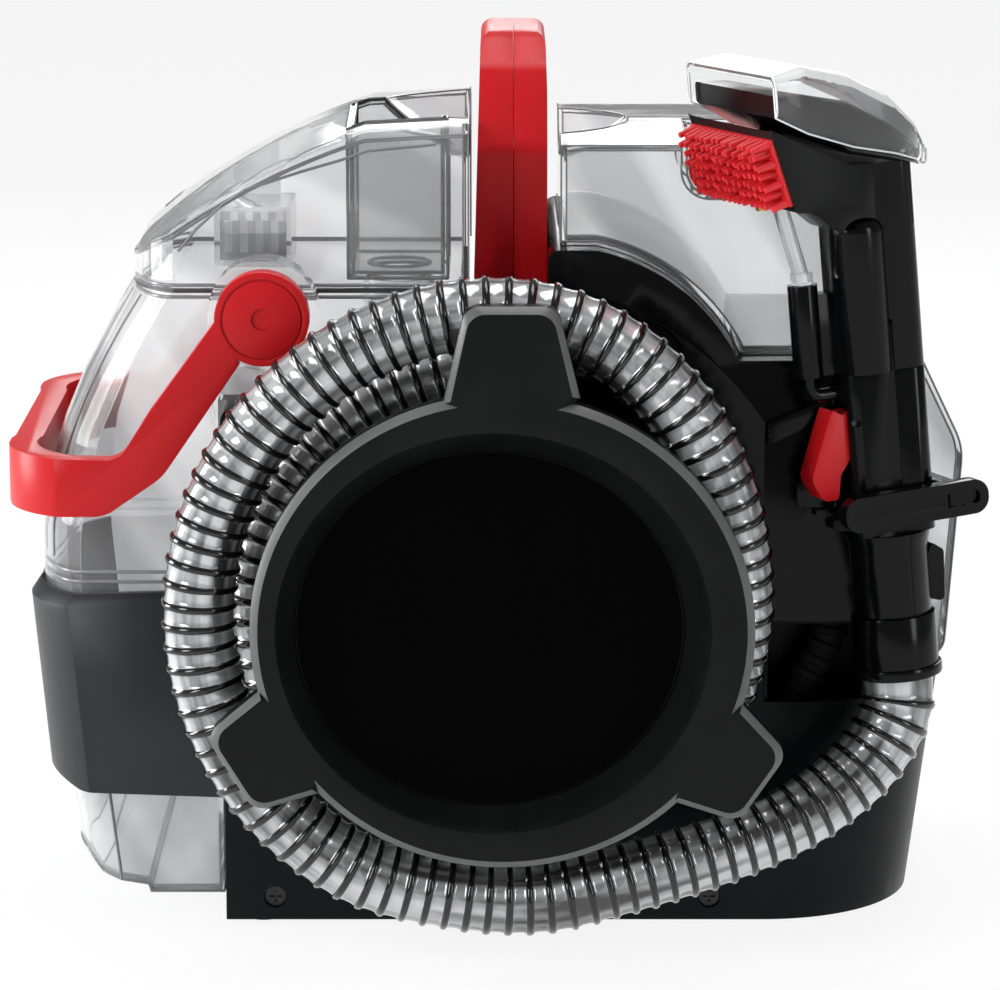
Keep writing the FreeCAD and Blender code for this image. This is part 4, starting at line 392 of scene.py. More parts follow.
def stacked_plates():
    """Core of thin plates, seen as fine level lines."""
    material, tree, shader = new_finish("stacked_plates")
    coords = tree.nodes.new("ShaderNodeTexCoord")
    wave = tree.nodes.new("ShaderNodeTexWave")
    wave.bands_direction = "Z"
    wave.inputs["Scale"].default_value = 320.0
    tree.links.new(coords.outputs["Object"], wave.inputs["Vector"])
    tinted(tree, shader, (0.16, 0.16, 0.17), wave.outputs["Fac"], (0.34, 0.34, 0.36))
    raised(tree, shader, wave.outputs["Fac"], 0.5, 0.0002)
    shader.inputs["Metallic"].default_value = 0.85
    shader.inputs["Roughness"].default_value = 0.5
    return material


def hose_band():
    """Clear band of the hose: painted lengthwise streaks of highlight and shade that follow the tube."""
    material, tree, shader = new_finish("hose_band")
    around = tree.nodes.new("ShaderNodeAttribute")
    around.attribute_name = "around"
    painted_streak = noise_node(tree, 2.1, 2.0, around.outputs["Vector"])
    tone = range_node(tree, painted_streak, 0.36, 0.64, 0.0, 1.0)
    # Base colour swings from near black to pale grey round the tube: painted highlight and shade along its length
    tinted(tree, shader, (0.05, 0.05, 0.052), tone, (0.60, 0.61, 0.62))
    marks = group_node(tree, "marks", Base=0.14, Change=0.12, Scale=60.0)
    tree.links.new(marks.outputs["Roughness"], shader.inputs["Roughness"])
    shader.inputs["Metallic"].default_value = 0.35
    shader.inputs["IOR"].default_value = 1.5
    shader.inputs["Coat Weight"].default_value = 0.6
    shader.inputs["Coat Roughness"].default_value = 0.08
    return material


def floor_finish(colour):
    """Pale floor: white to the camera, glass and gloss, and still taking a soft shadow."""
    material, tree, shader = new_finish("studio_floor")
    shader.inputs["Base Color"].default_value = (*colour, 1.0)
    shader.inputs["Roughness"].default_value = 0.9
    glow = tree.nodes.new("ShaderNodeEmission")
    glow.inputs["Color"].default_value = (*colour, 1.0)
    rays = tree.nodes.new("ShaderNodeLightPath")
    seen = math_node(tree, "ADD", rays.outputs["Is Camera Ray"], rays.outputs["Is Glossy Ray"], clamp=True)
    seen = math_node(tree, "ADD", seen, rays.outputs["Is Transmission Ray"], clamp=True)
    mix = tree.nodes.new("ShaderNodeMixShader")
    tree.links.new(math_node(tree, "MULTIPLY", seen, 0.88), mix.inputs[0])
    tree.links.new(shader.outputs[0], mix.inputs[1])
    tree.links.new(glow.outputs[0], mix.inputs[2])
    tree.links.new(mix.outputs[0], tree.nodes["Material Output"].inputs["Surface"])
    return material


# Colour or the setting that holds it, roughness, its change, strength of the grain, and what differs beside these
plastics = {
    "shell_gloss": ("shell", 0.14, 0.10, 0.02, {"coat": 0.03, "shine": 0.15}),
    "collar_satin": ("collar", 0.36, 0.10, 0.10, {"shine": 0.35}),
    "base_satin": ((0.0042, 0.005, 0.006), 0.34, 0.10, 0.10, {"shine": 0.12}),
    "hub_satin": ("hub", 0.40, 0.08, 0.14, {"shine": 0.12}),
    # Painted highlight: a lighter grey on the hub's outer bevel stands in for the light falling on it
    "hub_edge": ((0.085, 0.087, 0.087), 0.36, 0.08, 0.14, {"shine": 0.4}),
    "dish_black": ((0.0004, 0.0004, 0.0005), 0.30, 0.08, 0.02, {"shine": 0.02}),
    "red_gloss": ("red", 0.32, 0.08, 0.06, {"lighten": 1.08, "shine": 0.2}),
    "red_bristle": ((0.62, 0.014, 0.02), 0.42, 0.10, 0.05, {"lighten": 1.1}),
    "grey_satin": ((0.045, 0.046, 0.048), 0.45, 0.10, 0.12, {}),
    "float_pale": ((0.62, 0.625, 0.63), 0.45, 0.1, 0.08, {"lighten": 1.1}),
    "inner_plain": ((0.20, 0.205, 0.21), 0.5, 0.1, 0.12, {}),
    "black_rubber": ((0.008, 0.008, 0.008), 0.62, 0.18, 0.22, {"lighten": 1.8, "shine": 0.2}),
    "bead_black": ((0.005, 0.005, 0.005), 0.12, 0.08, 0.0, {"coat": 0.4, "shine": 0.4}),
    "clear_line": ((0.20, 0.205, 0.21), 0.12, 0.06, 0.02, {"coat": 0.5}),
    # Painted refraction lines: dark, grey and white finishes for thin lines that stand in for the light bent at clear
    # edges
    "edge_dark": ((0.02, 0.0205, 0.021), 0.12, 0.06, 0.02, {"coat": 0.3}),
    "edge_grey": ((0.16, 0.165, 0.17), 0.12, 0.06, 0.02, {"coat": 0.5}),
    "edge_white": ((0.80, 0.81, 0.82), 0.12, 0.06, 0.02, {"coat": 0.5, "lighten": 1.1}),
}

# Pale tone, grey tone of the painted reflection streaks, clearness, haze at the foot, refraction and turn of the
# streaks
tank_plastics = {
    "bucket_clear": ((0.97, 0.975, 0.98), (0.66, 0.67, 0.68), 0.92, 0.10, 1.22, 0.55),
    "tank_clear": ((0.97, 0.975, 0.98), (0.74, 0.75, 0.76), 0.92, 0.10, 1.25, 1.1),
}

# Colour, roughness, its change, clearness and refraction
clear_plastics = {
    "duct_clear": ((0.74, 0.75, 0.76), 0.03, 0.03, 0.95, 1.42),
    # Pale, less clear finish for the window's upward faces: a painted sheen on the top
    "cover_frost": ((0.86, 0.865, 0.87), 0.30, 0.12, 0.30, 1.38),
    "cover_clear": ((0.96, 0.965, 0.97), 0.03, 0.04, 0.97, 1.2),
}

# Colour, roughness and stretch of the drawn lines
metals = {
    "steel_plain": ((0.56, 0.56, 0.57), 0.32, (1.0, 1.0, 12.0)),
    "screw_black": ((0.05, 0.05, 0.052), 0.40, (1.0, 1.0, 12.0)),
    "brass_plain": ((0.72, 0.50, 0.18), 0.30, (1.0, 1.0, 8.0)),
}


def make_finish(name):
    """A new finish from the tables above, or one of the four that stand alone."""
    colours = bpy.context.scene.extractor_finish
    if name in plastics:
        colour, roughness, change, grain_strength, other = plastics[name]
        if isinstance(colour, str):
            colour = tuple(getattr(colours, colour))
        return plastic(name, colour, roughness, change, grain_strength, **other)
    if name in tank_plastics:
        return tank_plastic(name, *tank_plastics[name])
    if name in clear_plastics:
        return clear_plastic(name, *clear_plastics[name])
    if name in metals:
        return metal(name, *metals[name])
    # Frosted rear wall; the last number is the strength of its painted glow
    if name == "tank_frost":
        return frosted_wall_painted_glow(name, (0.92, 0.925, 0.93), 0.30, 0.20, 0.38)
    if name == "studio_floor":
        return floor_finish(tuple(colours.floor))
    return {"stacked_plates": stacked_plates, "hose_band": hose_band}[name]()


def finish_named(name):
    """A finish by its name, made once."""
    if name not in finishes:
        finishes[name] = make_finish(name)
    return finishes[name]


# Making and placing pieces

def paint(node, finish):
    """Gives a CAD node that stays in view its procedural finish."""
    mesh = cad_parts[node].data
    mesh.materials.clear()
    mesh.materials.append(finish_named(finish))


def piece_from(bm, name, body, slot_name, *finish_names, crease=smooth_below):
    """Turns a bmesh into a piece that rides on a body, with smooth faces up to the crease angle."""
    for edge in bm.edges:
        edge.smooth = len(edge.link_faces) == 2 and edge.calc_face_angle(0.0) < crease
    for face in bm.faces:
        face.smooth = True
    mesh = bpy.data.meshes.new(name)
    bm.to_mesh(mesh)
    bm.free()
    for finish in finish_names:
        mesh.materials.append(finish_named(finish))
    piece = bpy.data.objects.new(name, mesh)
    bpy.context.scene.collection.objects.link(piece)
    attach(piece, body)
    return piece


def merged_copy(node, whole=True):
    """A CAD node's mesh with its corners joined and, where asked, its flat faces made whole."""
    bm = bmesh.new()
    bm.from_mesh(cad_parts[node].data)
    bmesh.ops.remove_doubles(bm, verts=bm.verts, dist=join_distance)
    if whole:
        bmesh.ops.dissolve_limit(bm, angle_limit=flat_within, verts=bm.verts, edges=bm.edges,
                                 use_dissolve_boundaries=False)
    return bm


def soften(bm, width):
    """Rounds the outer corners of a mesh."""
    sharp = [edge for edge in bm.edges if len(edge.link_faces) == 2 and edge.is_convex
             and edge.calc_face_angle(0.0) > round_above and edge.calc_length() > width * 0.6]
    if sharp and width > 0:
        bmesh.ops.bevel(bm, geom=sharp, offset=width, offset_type="OFFSET", segments=2, profile=0.5,
                        affect="EDGES", clamp_overlap=True, material=-1, loop_slide=True)


def dress(node, body, slot_name, finish, width, second=None, takes_second=None):
    """Replaces a CAD node with a copy of itself whose edges are rounded as moulded edges are."""
    bm = merged_copy(node, whole=width > 0)
    soften(bm, width)
    names = [finish]
    if second:
        names.append(second)
        bm.normal_update()
        for face in bm.faces:
            if takes_second(face):
                face.material_index = 1
    piece = piece_from(bm, "dressed_" + node, body, slot_name, *names)
    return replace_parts(piece, node)


def outer_bevel(face):
    """True for the sloped rim of the hub, which faces out and forward; it takes the lighter grey of the painted
    highlight.
    """
    middle = face.calc_center_median() - hub_middle
    outward = middle.x * face.normal.x + middle.z * face.normal.z
    return outward > 0 and -0.96 < face.normal.y < -0.25


def looks_up(face):
    """True for a face that looks upwards; on the tool's window these take the painted top sheen."""
    return face.normal.z > 0.45


def rear_wall(face):
    """True for the inner face of a tank's rear wall, seen from the front through the tank."""
    return face.calc_center_median().y > rear_wall_from and face.normal.y < -0.7


def edge_lines(name, node, body, finish, radius, keep):
    """Thin round lines of painted refraction highlight and shade on the sharp corners of a clear node, where real
    plastic bends the light most.
    """
    source = merged_copy(node)
    lines = bmesh.new()
    for edge in source.edges:
        length = edge.calc_length()
        if len(edge.link_faces) != 2 or edge.calc_face_angle(0.0) < smooth_below or length < radius:
            continue
        start = edge.verts[0].co
        end = edge.verts[1].co
        middle = (start + end) / 2
        if keep(middle):
            turn = (end - start).to_track_quat("Z", "Y").to_matrix().to_4x4()
            bmesh.ops.create_cone(lines, cap_ends=True, segments=line_sides, radius1=radius, radius2=radius,
                                  depth=length, matrix=Matrix.Translation(middle) @ turn)
    source.free()
    return piece_from(lines, name, body, "clear", finish, crease=math.radians(70))


def spline_points(points):
    """Places along a smooth spline through the control points, given in metres."""
    curve = bpy.data.curves.new("route", "CURVE")
    curve.dimensions = "3D"
    curve.resolution_u = 12
    spline = curve.splines.new("NURBS")
    spline.points.add(len(points) - 1)
    for control, place in zip(spline.points, points):
        control.co = (*place, 1.0)
    spline.order_u = 3
    spline.use_endpoint_u = True
    carrier = bpy.data.objects.new("route", curve)
    mesh = bpy.data.meshes.new_from_object(carrier)
    places = [vertex.co.copy() for vertex in mesh.vertices]
    bpy.data.objects.remove(carrier)
    bpy.data.curves.remove(curve)
    bpy.data.meshes.remove(mesh)
    return places


def along(places):
    """Length of a route and a function that gives the place and direction at a distance."""
    marks = [0.0]
    for before, after in zip(places, places[1:]):
        marks.append(marks[-1] + (after - before).length)
    last = len(places) - 1

    def read(distance):
        low = 0
        high = last
        while high - low > 1:
            middle = (low + high) // 2
            low, high = (middle, high) if marks[middle] <= distance else (low, middle)
        share = (distance - marks[low]) / max(1e-9, marks[high] - marks[low])
        place = places[low].lerp(places[high], max(0.0, min(1.0, share)))
        before = places[max(low - 1, 0)]
        after = places[min(high + 1, last)]
        return place, (after - before).normalized()

    return marks[-1], read


def ring_matrix(place, way, radius, steady):
    """Frame of a ring square to its route, scaled to its radius."""
    side = steady - way * way.dot(steady)
    side.normalize()
    across = way.cross(side)
    turn = Matrix((side, across, way)).transposed().to_4x4()
    return Matrix.Translation(place) @ turn @ Matrix.Scale(radius, 4)


def swept(bm, rings, sides, lengthwise=1.0, steady=Vector((0, 1, 0))):
    """Closed skin through rings given as (place, way, radius, finish index), from one grid rolled into a tube."""
    around = bm.verts.layers.float_vector.new("around")
    count = len(rings)
    made = bmesh.ops.create_grid(bm, x_segments=sides, y_segments=count - 1, size=1.0)["verts"]
    made.sort(key=lambda vertex: (round(vertex.co.y, 6), round(vertex.co.x, 6)))
    distance = 0.0
    for index, (place, way, radius, finish) in enumerate(rings):
        if index:
            distance += (place - rings[index - 1][0]).length
        frame_matrix = ring_matrix(place, way, radius, steady)
        for step, vertex in enumerate(made[index * (sides + 1):(index + 1) * (sides + 1)]):
            turn = 2 * math.pi * step / sides
            spot = Vector((math.cos(turn), math.sin(turn), 0.0))
            vertex.co = frame_matrix @ spot
            vertex[around] = Vector((spot.x, spot.y, distance * lengthwise))
            if index:
                for face in vertex.link_faces:
                    face.material_index = finish
    bmesh.ops.remove_doubles(bm, verts=bm.verts, dist=seam_distance)
    open_edges = [edge for edge in bm.edges if len(edge.link_faces) == 1]
    bmesh.ops.holes_fill(bm, edges=open_edges, sides=0)
    bmesh.ops.recalc_face_normals(bm, faces=bm.faces)


def rails(name, body, slot_name, finish, routes, radius, steady):
    """Thin round ribs along routes given in millimetres, as one piece."""
    whole = bmesh.new()
    for route in routes:
        places = [Vector(place) * millimetre for place in route]
        last = len(places) - 1
        rings = []
        for index, place in enumerate(places):
            way = (places[min(index + 1, last)] - places[max(index - 1, 0)]).normalized()
            rings.append((place, way, radius * millimetre, 0))
        part = bmesh.new()
        swept(part, rings, rail_sides, steady=steady)
        mesh = bpy.data.meshes.new("rail")
        part.to_mesh(mesh)
        part.free()
        whole.from_mesh(mesh)
        bpy.data.meshes.remove(mesh)
    return piece_from(whole, name, body, slot_name, finish, crease=math.radians(80))


# Hose

def eased(pairs, value):
    """Size at a value, led smoothly from one (value, size) pair to the next."""
    for (p0, s0), (p1, s1) in zip(pairs, pairs[1:]):
        if value <= p1:
            share = max(0.0, min(1.0, (value - p0) / (p1 - p0)))
            return s0 + (s1 - s0) * share * share * (3 - 2 * share)
    return pairs[-1][1]


# Run of the hose from the outer coil up into the cuff, in millimetres
lead_away = [(10.0, -95.0, 23.0), (46.0, -92.0, 31.5), (86.0, -86.0, 42.0), (117.0, -78.0, 54.0),
             (139.5, -71.0, 71.0), (150.2, -66.0, 88.0), (151.5, -64.0, 97.0), (150.8, -64.0, 103.0),
             (148.9, -64.0, 125.0)]


def hose_points():
    """Control points of the hose: straight out of its elbow, round the hub and up into the cuff."""
    turns = [(90, 88.5), (365, 88.5), (450, 115.0), (540, 111.6), (622, 109.9)]
    layers = [(90, elbow_y), (295, elbow_y), (415, outer_coil_y)]
    points = [Vector((x, elbow_y, elbow_z)) for x in elbow_run]
    outward = 1.0 / math.cos(math.radians(coil_step / 2))
    for angle in range(coil_start, coil_end, coil_step):
        turn = math.radians(angle)
        radius = eased(turns, angle) * outward
        shift = 2.0 * (1 - eased([(0, 0), (90, 1)], angle - 90))
        height = hub_height + radius * math.sin(turn)
        points.append(Vector((shift + radius * math.cos(turn), eased(layers, angle), height)))
    points += [Vector(place) for place in lead_away]
    return [place * millimetre for place in points]


def make_hose(settings):
    """The ribbed hose, with a dark bead at each pitch and plain ends."""
    route = spline_points(hose_points())
    length, read = along(route)
    count = int((length - 2 * plain_end) / settings.pitch)
    start = (length - 2 * plain_end - count * settings.pitch) / 2 + plain_end
    bead = bead_width / settings.pitch
    shoulder = settings.crest - bead_fall
    dip = settings.band - bead_fall
    rings = [(*read(0.0), settings.band, 0), (*read(plain_end), settings.band, 0)]
    profile = [(0.0, settings.band, 0), (bead * 0.12, shoulder, 1), (bead * 0.5, settings.crest, 1),
               (bead * 0.88, shoulder, 1), (bead, settings.band, 1),
               (bead + (1 - bead) * 0.25, dip, 0), (bead + (1 - bead) * 0.75, dip, 0)]
    for rib in range(count):
        for share, radius, finish in profile:
            rings.append((*read(start + (rib + share) * settings.pitch), radius, finish))
    rings.append((*read(length - plain_end), settings.band, 0))
    rings.append((*read(length), settings.band, 0))
    bm = bmesh.new()
    swept(bm, rings, settings.sides, lengthwise=6.0)
    piece = piece_from(bm, "ribbed_hose", "machine", "hose_clear", "hose_band", "bead_black", crease=math.radians(50))
    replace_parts(piece, "hose")
    return piece


class EXTRACTOR_OT_hose(bpy.types.Operator):
    """Wind the ribbed hose on the hub"""
    bl_idname = "extractor.hose"
    bl_label = "Hose"

    def execute(self, context):
        make_hose(context.scene.extractor_hose)
        paint("hose_port", "shell_gloss")
        paint("solution_boot", "black_rubber")
        return {"FINISHED"}


class EXTRACTOR_OT_housing(bpy.types.Operator):
    """Dress the base, the tower, the collar and the back"""
    bl_idname = "extractor.housing"
    bl_label = "Housing"

    def execute(self, context):
        edges = context.scene.extractor_edges
        dress("base_housing", "machine", "shell", "base_satin", edges.shell)
        dress("tower_housing", "machine", "shell", "shell_gloss", edges.shell)
        dress("tank_collar", "machine", "shell", "collar_satin", edges.shell)
        for node, finish in (("base_pan", "shell_gloss"), ("rubber_feet", "black_rubber"),
                             ("rear_cover", "shell_gloss"), ("recess_liner", "base_satin"),
                             ("housing_screws", "screw_black"), ("hose_plate", "shell_gloss"),
                             ("upper_cord_hook", "shell_gloss"), ("switch_bezel", "hub_satin"),
                             ("switch_rocker", "red_gloss"), ("cord_gland", "black_rubber"),
                             ("valve_seat", "hub_satin")):
            paint(node, finish)
        return {"FINISHED"}


class EXTRACTOR_OT_hub(bpy.types.Operator):
    """Dress the hub that the hose is wound on"""
    bl_idname = "extractor.hub"
    bl_label = "Hub"

    def execute(self, context):
        edges = context.scene.extractor_edges
        # The hub's outer bevel takes the lighter grey as a painted highlight
        dress("hub_face", "machine", "hub", "hub_satin", edges.shell, "hub_edge", outer_bevel)
        paint("hub_drum", "hub_satin")
        paint("hub_dish", "dish_black")
        return {"FINISHED"}


def plan_route(shift, height, out):
    """Route round the free end of the dirty tank at a height; shift moves its end from where the seam is."""
    left = seam_left + shift - out
    front = tank_front - out
    rear = tank_rear + out
    corner = [(1.0 - math.sin(math.radians(a)), 1.0 - math.cos(math.radians(a))) for a in range(0, 91, 10)]
    route = [(rim_end, front, height), (left + corner_start, front, height)]
    route += [(left + corner_wide * x, front + corner_deep * y, height) for x, y in corner[1:]]
    route += [(left + corner_wide * x, rear - corner_deep * y, height) for x, y in reversed(corner[1:])]
    return route + [(left + corner_start, rear, height), (rim_end, rear, height)]


def lean_route(across, back):
    """Route up the bucket's free end, which leans in above the collar on the same curve as the CAD."""
    route = []
    for height in range(142, 245, 6):
        share = max(0.0, (height - lean_from) / lean_rise) ** lean_power
        route.append((foot_left + lean_in * share + across, back, float(height)))
    return route


# Ridge over the front of the lid, in millimetres
lid_ridges = [
    [(-121.4, -40.2, 262.5), (-114.5, -40.2, 270.9), (-104.2, -40.2, 280.5), (-95.5, -40.2, 286.0),
     (-74.7, -40.2, 292.7), (-60.0, -40.2, 297.0), (-49.9, -40.2, 300.5), (-24.0, -40.2, 303.0)],
]


class EXTRACTOR_OT_tanks(bpy.types.Operator):
    """Give the two tanks their clear finish and dress the red bail and cap"""
    bl_idname = "extractor.tanks"
    bl_label = "Tanks"

    def execute(self, context):
        edges = context.scene.extractor_edges
        for node, body in (("dirty_bucket", "dirty_tank"), ("clean_tank", "clean_tank_body")):
            # Rear walls take the frosted finish with its painted glow
            dress(node, body, "clear", "bucket_clear", 0.0, "tank_frost", rear_wall)
        dress("dirty_lid", "tank_lid", "clear", "tank_clear", 0.0, "tank_frost", rear_wall)
        for node, finish in (("inlet_duct", "duct_clear"), ("tank_gasket", "grey_satin"),
                             ("float_cage", "duct_clear"), ("shutoff_float", "float_pale"),
                             ("bail_pins", "red_gloss"), ("cap_seal", "black_rubber"),
                             ("tank_valve", "inner_plain")):
            paint(node, finish)
        dress("tank_bail", "bail", "red", "red_gloss", edges.handle)
        dress("fill_cap", "cap", "red", "red_gloss", edges.small)
        level = Vector((0, 0, 1))
        upright = Vector((0, 1, 0))
        bucket_rims = [plan_route(0.0, 245.0, 0.2), plan_route(-36.4, 134.6, 0.2), plan_route(-36.2, 138.4, 0.2)]
        rails("bucket_rims", "dirty_tank", "clear", "clear_line", bucket_rims, 0.7, level)
        rails("lid_rims", "tank_lid", "clear", "clear_line", [plan_route(0.0, 249.6, 0.2)], 0.7, level)
        # The lid ridge and the streaks up the bucket's free end are thin lines in the painted refraction grey
        rails("lid_ridges", "tank_lid", "clear", "edge_grey", lid_ridges, 0.55, upright)
        bucket_streaks = [lean_route(4.6, -27.0), lean_route(1.2, -14.0)]
        rails("bucket_streaks", "dirty_tank", "clear", "edge_grey", bucket_streaks, 0.5, upright)
        # Edge lines in dark and grey are painted refraction shade and highlight
        edge_lines("duct_edges", "inlet_duct", "tank_lid", "edge_dark", 0.0007, lambda spot: True)
        edge_lines("bucket_edges", "dirty_bucket", "dirty_tank", "edge_grey", 0.0005,
                   lambda spot: spot.z < 0.1 and spot.y < 0.08)
        edge_lines("lid_edges", "dirty_lid", "tank_lid", "edge_grey", 0.0004, lambda spot: spot.z > 0.262)
        edge_lines("clean_edges", "clean_tank", "clean_tank_body", "edge_grey", 0.0004,
                   lambda spot: spot.y < 0.08)
        return {"FINISHED"}


class EXTRACTOR_OT_handle(bpy.types.Operator):
    """Dress the red carry handle"""
    bl_idname = "extractor.handle"
    bl_label = "Carry handle"

    def execute(self, context):
        edges = context.scene.extractor_edges
        dress("carry_handle_left", "machine", "red", "red_gloss", edges.handle)
        dress("carry_handle_right", "machine", "red", "red_gloss", edges.handle)
        return {"FINISHED"}


def wand_spot(x, y, z):
    """World place of a point given in millimetres in the wand's own frame."""
    turn = math.radians(wand_turn)
    lean = math.radians(wand_lean)
    across = x * math.cos(turn) - y * math.sin(turn)
    back = x * math.sin(turn) + y * math.cos(turn)
    return Vector((across * math.cos(lean) - z * math.sin(lean) + wand_foot[0], back + wand_foot[1],
                   across * math.sin(lean) + z * math.cos(lean) + wand_foot[2])) * millimetre


def brush_face(down, y, out):
    """World place over the slanted face of the brush block: distance down it, across it and out of it."""
    return wand_spot(face_x + face_across * down - face_down * out, y,
                     face_z - face_down * down - face_across * out)


def make_bristles():
    """Dense red nubs in staggered rows on a thin red strip."""
    draw = random.Random(11)
    bm = bmesh.new()
    centre = brush_face(strip_middle, 0.0, strip_base)
    sides = [brush_face(strip_end, 0.0, strip_base) - centre,
             brush_face(strip_middle, strip_half, strip_base) - centre,
             brush_face(strip_middle, 0.0, strip_top) - centre]
    strip_matrix = Matrix.Translation(centre) @ Matrix(sides).transposed().to_4x4()
    bmesh.ops.create_cube(bm, size=2.0, matrix=strip_matrix)
    for row in range(bristle_rows):
        down = first_row + row * row_gap
        shift = row_stagger if row % 2 else -row_stagger
        for column in range(bristle_columns):
            y = (column - (bristle_columns - 1) / 2) * column_gap + shift
            root = brush_face(down, y, 0.8)
            tip = brush_face(down + draw.uniform(-0.5, 0.5), y + draw.uniform(-0.6, 0.6),
                             draw.uniform(7.2, 8.4))
            turn = (tip - root).to_track_quat("Z", "Y").to_matrix().to_4x4()
            bmesh.ops.create_cone(bm, cap_ends=True, segments=9, radius1=0.0016, radius2=0.00115,
                                  depth=(tip - root).length, matrix=Matrix.Translation((root + tip) / 2) @ turn)
    bmesh.ops.recalc_face_normals(bm, faces=bm.faces)
    piece = piece_from(bm, "brush_nubs", "tool", "red", "red_bristle", crease=math.radians(50))
    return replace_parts(piece, "brush_bristles")


class EXTRACTOR_OT_wand(bpy.types.Operator):
    """Dress the wand, its trigger and the spray tool"""
    bl_idname = "extractor.wand"
    bl_label = "Wand and tool"

    def execute(self, context):
        small = context.scene.extractor_edges.small
        for node in ("hose_cuff", "grip_front_half", "grip_rear_half"):
            dress(node, "machine", "shell", "shell_gloss", small)
        dress("tool_holder", "machine", "hub", "shell_gloss", small * 2)
        dress("trigger", "trigger", "red", "red_gloss", small * 2.6)
        dress("tool_body", "tool", "shell", "shell_gloss", small * 1.6)
        # The window's upward faces take the pale finish as a painted top sheen
        dress("tool_window", "tool", "clear", "cover_clear", small * 0.8, "cover_frost", looks_up)
        dress("brush_block", "tool", "shell", "hub_satin", small)
        for node, finish in (("grip_lugs", "hub_satin"), ("trigger_pin", "screw_black"),
                             ("trigger_spring", "steel_plain"), ("solution_elbow", "shell_gloss"),
                             ("spray_tip", "brass_plain"), ("spray_line", "tank_clear")):
            paint(node, finish)
        make_bristles()
        # White lines on the cover's edges are a painted highlight
        edge_lines("cover_edges", "tool_window", "tool", "edge_white", 0.0004, lambda spot: True)
        return {"FINISHED"}


class EXTRACTOR_OT_drive(bpy.types.Operator):
    """Give the motor, fan and pump their finishes"""
    bl_idname = "extractor.drive"
    bl_label = "Drive"

    def execute(self, context):
        for node, finish in (("motor_can", "steel_plain"), ("stator", "stacked_plates"),
                             ("rotor_core", "stacked_plates"), ("rotor_shaft", "steel_plain"),
                             ("motor_bearings", "steel_plain"), ("fan_impeller", "inner_plain"),
                             ("fan_housing", "inner_plain"), ("motor_mount", "black_rubber"),
                             ("pump", "inner_plain"), ("solution_lines", "inner_plain"),
                             ("suction_duct", "inner_plain")):
            paint(node, finish)
        return {"FINISHED"}


class EXTRACTOR_OT_stage(bpy.types.Operator):
    """Set the floor, the soft lights and the camera"""
    bl_idname = "extractor.stage"
    bl_label = "Stage"

    def execute(self, context):
        bm = bmesh.new()
        bmesh.ops.create_grid(bm, x_segments=1, y_segments=1, size=6.0)
        mesh = bpy.data.meshes.new("floor")
        bm.to_mesh(mesh)
        bm.free()
        mesh.materials.append(finish_named("studio_floor"))
        floor = bpy.data.objects.new("floor", mesh)
        context.scene.collection.objects.link(floor)
        world = bpy.data.worlds.new("studio")
        world.use_nodes = True
        context.scene.world = world
        tree = world.node_tree
        rays = tree.nodes.new("ShaderNodeLightPath")
        seen = math_node(tree, "ADD", rays.outputs["Is Camera Ray"], rays.outputs["Is Transmission Ray"],
                         clamp=True)
        gloss = math_node(tree, "MULTIPLY", rays.outputs["Is Glossy Ray"], world_gloss)
        seen = math_node(tree, "MULTIPLY", seen, 1.0 - world_fill)
        strength = math_node(tree, "ADD", math_node(tree, "ADD", seen, gloss), world_fill, clamp=True)
        tree.links.new(strength, tree.nodes["Background"].inputs["Strength"])
        tree.nodes["Background"].inputs["Color"].default_value = (1, 1, 1, 1)
        for name, place, aim, width, height, power in lamp_table:
            lamp = bpy.data.lights.new(name, "AREA")
            lamp.shape = "RECTANGLE"
            lamp.size = width
            lamp.size_y = height
            lamp.energy = power
            holder = bpy.data.objects.new(name, lamp)
            context.scene.collection.objects.link(holder)
            holder.location = place
            holder.rotation_mode = "QUATERNION"
            holder.rotation_quaternion = (Vector(aim) - Vector(place)).to_track_quat("-Z", "Y")
        camera = bpy.data.cameras.new("camera")
        camera.lens = camera_lens
        camera.sensor_width = 36.0
        camera.clip_start = 0.1
        camera.clip_end = 30.0
        holder = bpy.data.objects.new("camera", camera)
        context.scene.collection.objects.link(holder)
        rise = math.radians(camera_rise)
        holder.location = camera_target + Vector((0.0, -math.cos(rise), math.sin(rise))) * camera_distance
        holder.rotation_mode = "QUATERNION"
        holder.rotation_quaternion = (camera_target - holder.location).to_track_quat("-Z", "Y")
        context.scene.camera = holder
        context.scene.view_settings.view_transform = "Standard"
        return {"FINISHED"}


# Light of the world on the object and in its gloss
world_fill = 0.22
world_gloss = 0.05

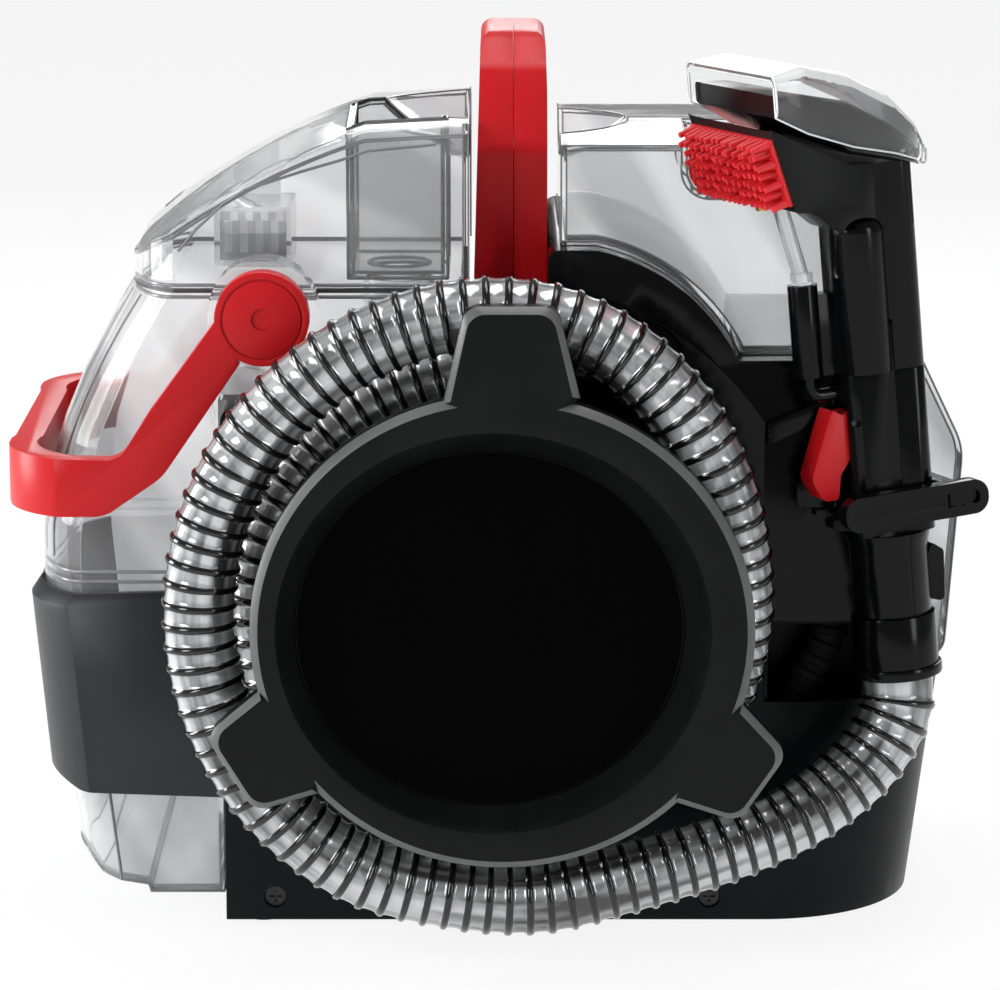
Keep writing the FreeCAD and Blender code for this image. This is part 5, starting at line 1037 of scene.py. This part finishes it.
# Name, place, aim, width, height and power of each lamp
lamp_table = [
    ("key_left", (-1.5, -1.3, 1.1), (0.0, 0.0, 0.15), 0.7, 1.2, 26.0),
    ("fill_right", (1.5, -1.2, 0.7), (0.05, 0.0, 0.15), 0.4, 1.1, 9.0),
    ("left_rim", (-1.3, 0.25, 0.35), (-0.15, 0.02, 0.15), 0.4, 0.8, 14.0),
    ("top", (0.1, 0.1, 1.7), (0.0, 0.0, 0.1), 1.2, 0.8, 15.0),
    ("back", (0.2, 1.6, 0.9), (0.0, 0.0, 0.15), 1.2, 0.6, 10.0),
]


class EXTRACTOR_PT_panel(bpy.types.Panel):
    """Settings and steps of the spot extractor"""
    bl_idname = "EXTRACTOR_PT_panel"
    bl_label = "Spot extractor"
    bl_space_type = "VIEW_3D"
    bl_region_type = "UI"
    bl_category = "Extractor"

    def draw(self, context):
        layout = self.layout
        scene = context.scene
        for owner in (scene.extractor_hose, scene.extractor_edges, scene.extractor_finish):
            box = layout.box()
            for key in owner.bl_rna.properties.keys():
                if key not in ("rna_type", "name"):
                    box.prop(owner, key)
        for operator in operators:
            layout.operator(operator.bl_idname)


operators = (EXTRACTOR_OT_stage, EXTRACTOR_OT_hose, EXTRACTOR_OT_hub, EXTRACTOR_OT_housing, EXTRACTOR_OT_tanks,
             EXTRACTOR_OT_handle, EXTRACTOR_OT_wand, EXTRACTOR_OT_drive)
settings_classes = (HoseSettings, EdgeSettings, FinishSettings)


def register():
    for item in settings_classes + operators + (EXTRACTOR_PT_panel,):
        bpy.utils.register_class(item)
    bpy.types.Scene.extractor_hose = bpy.props.PointerProperty(type=HoseSettings)
    bpy.types.Scene.extractor_edges = bpy.props.PointerProperty(type=EdgeSettings)
    bpy.types.Scene.extractor_finish = bpy.props.PointerProperty(type=FinishSettings)


def unregister():
    del bpy.types.Scene.extractor_finish
    del bpy.types.Scene.extractor_edges
    del bpy.types.Scene.extractor_hose
    for item in reversed(settings_classes + operators + (EXTRACTOR_PT_panel,)):
        bpy.utils.unregister_class(item)


def main():
    register()
    bpy.ops.extractor.stage()
    bpy.ops.extractor.hose()
    bpy.ops.extractor.hub()
    bpy.ops.extractor.housing()
    bpy.ops.extractor.tanks()
    bpy.ops.extractor.handle()
    bpy.ops.extractor.wand()
    bpy.ops.extractor.drive()


if __name__ == "__main__":
    main()
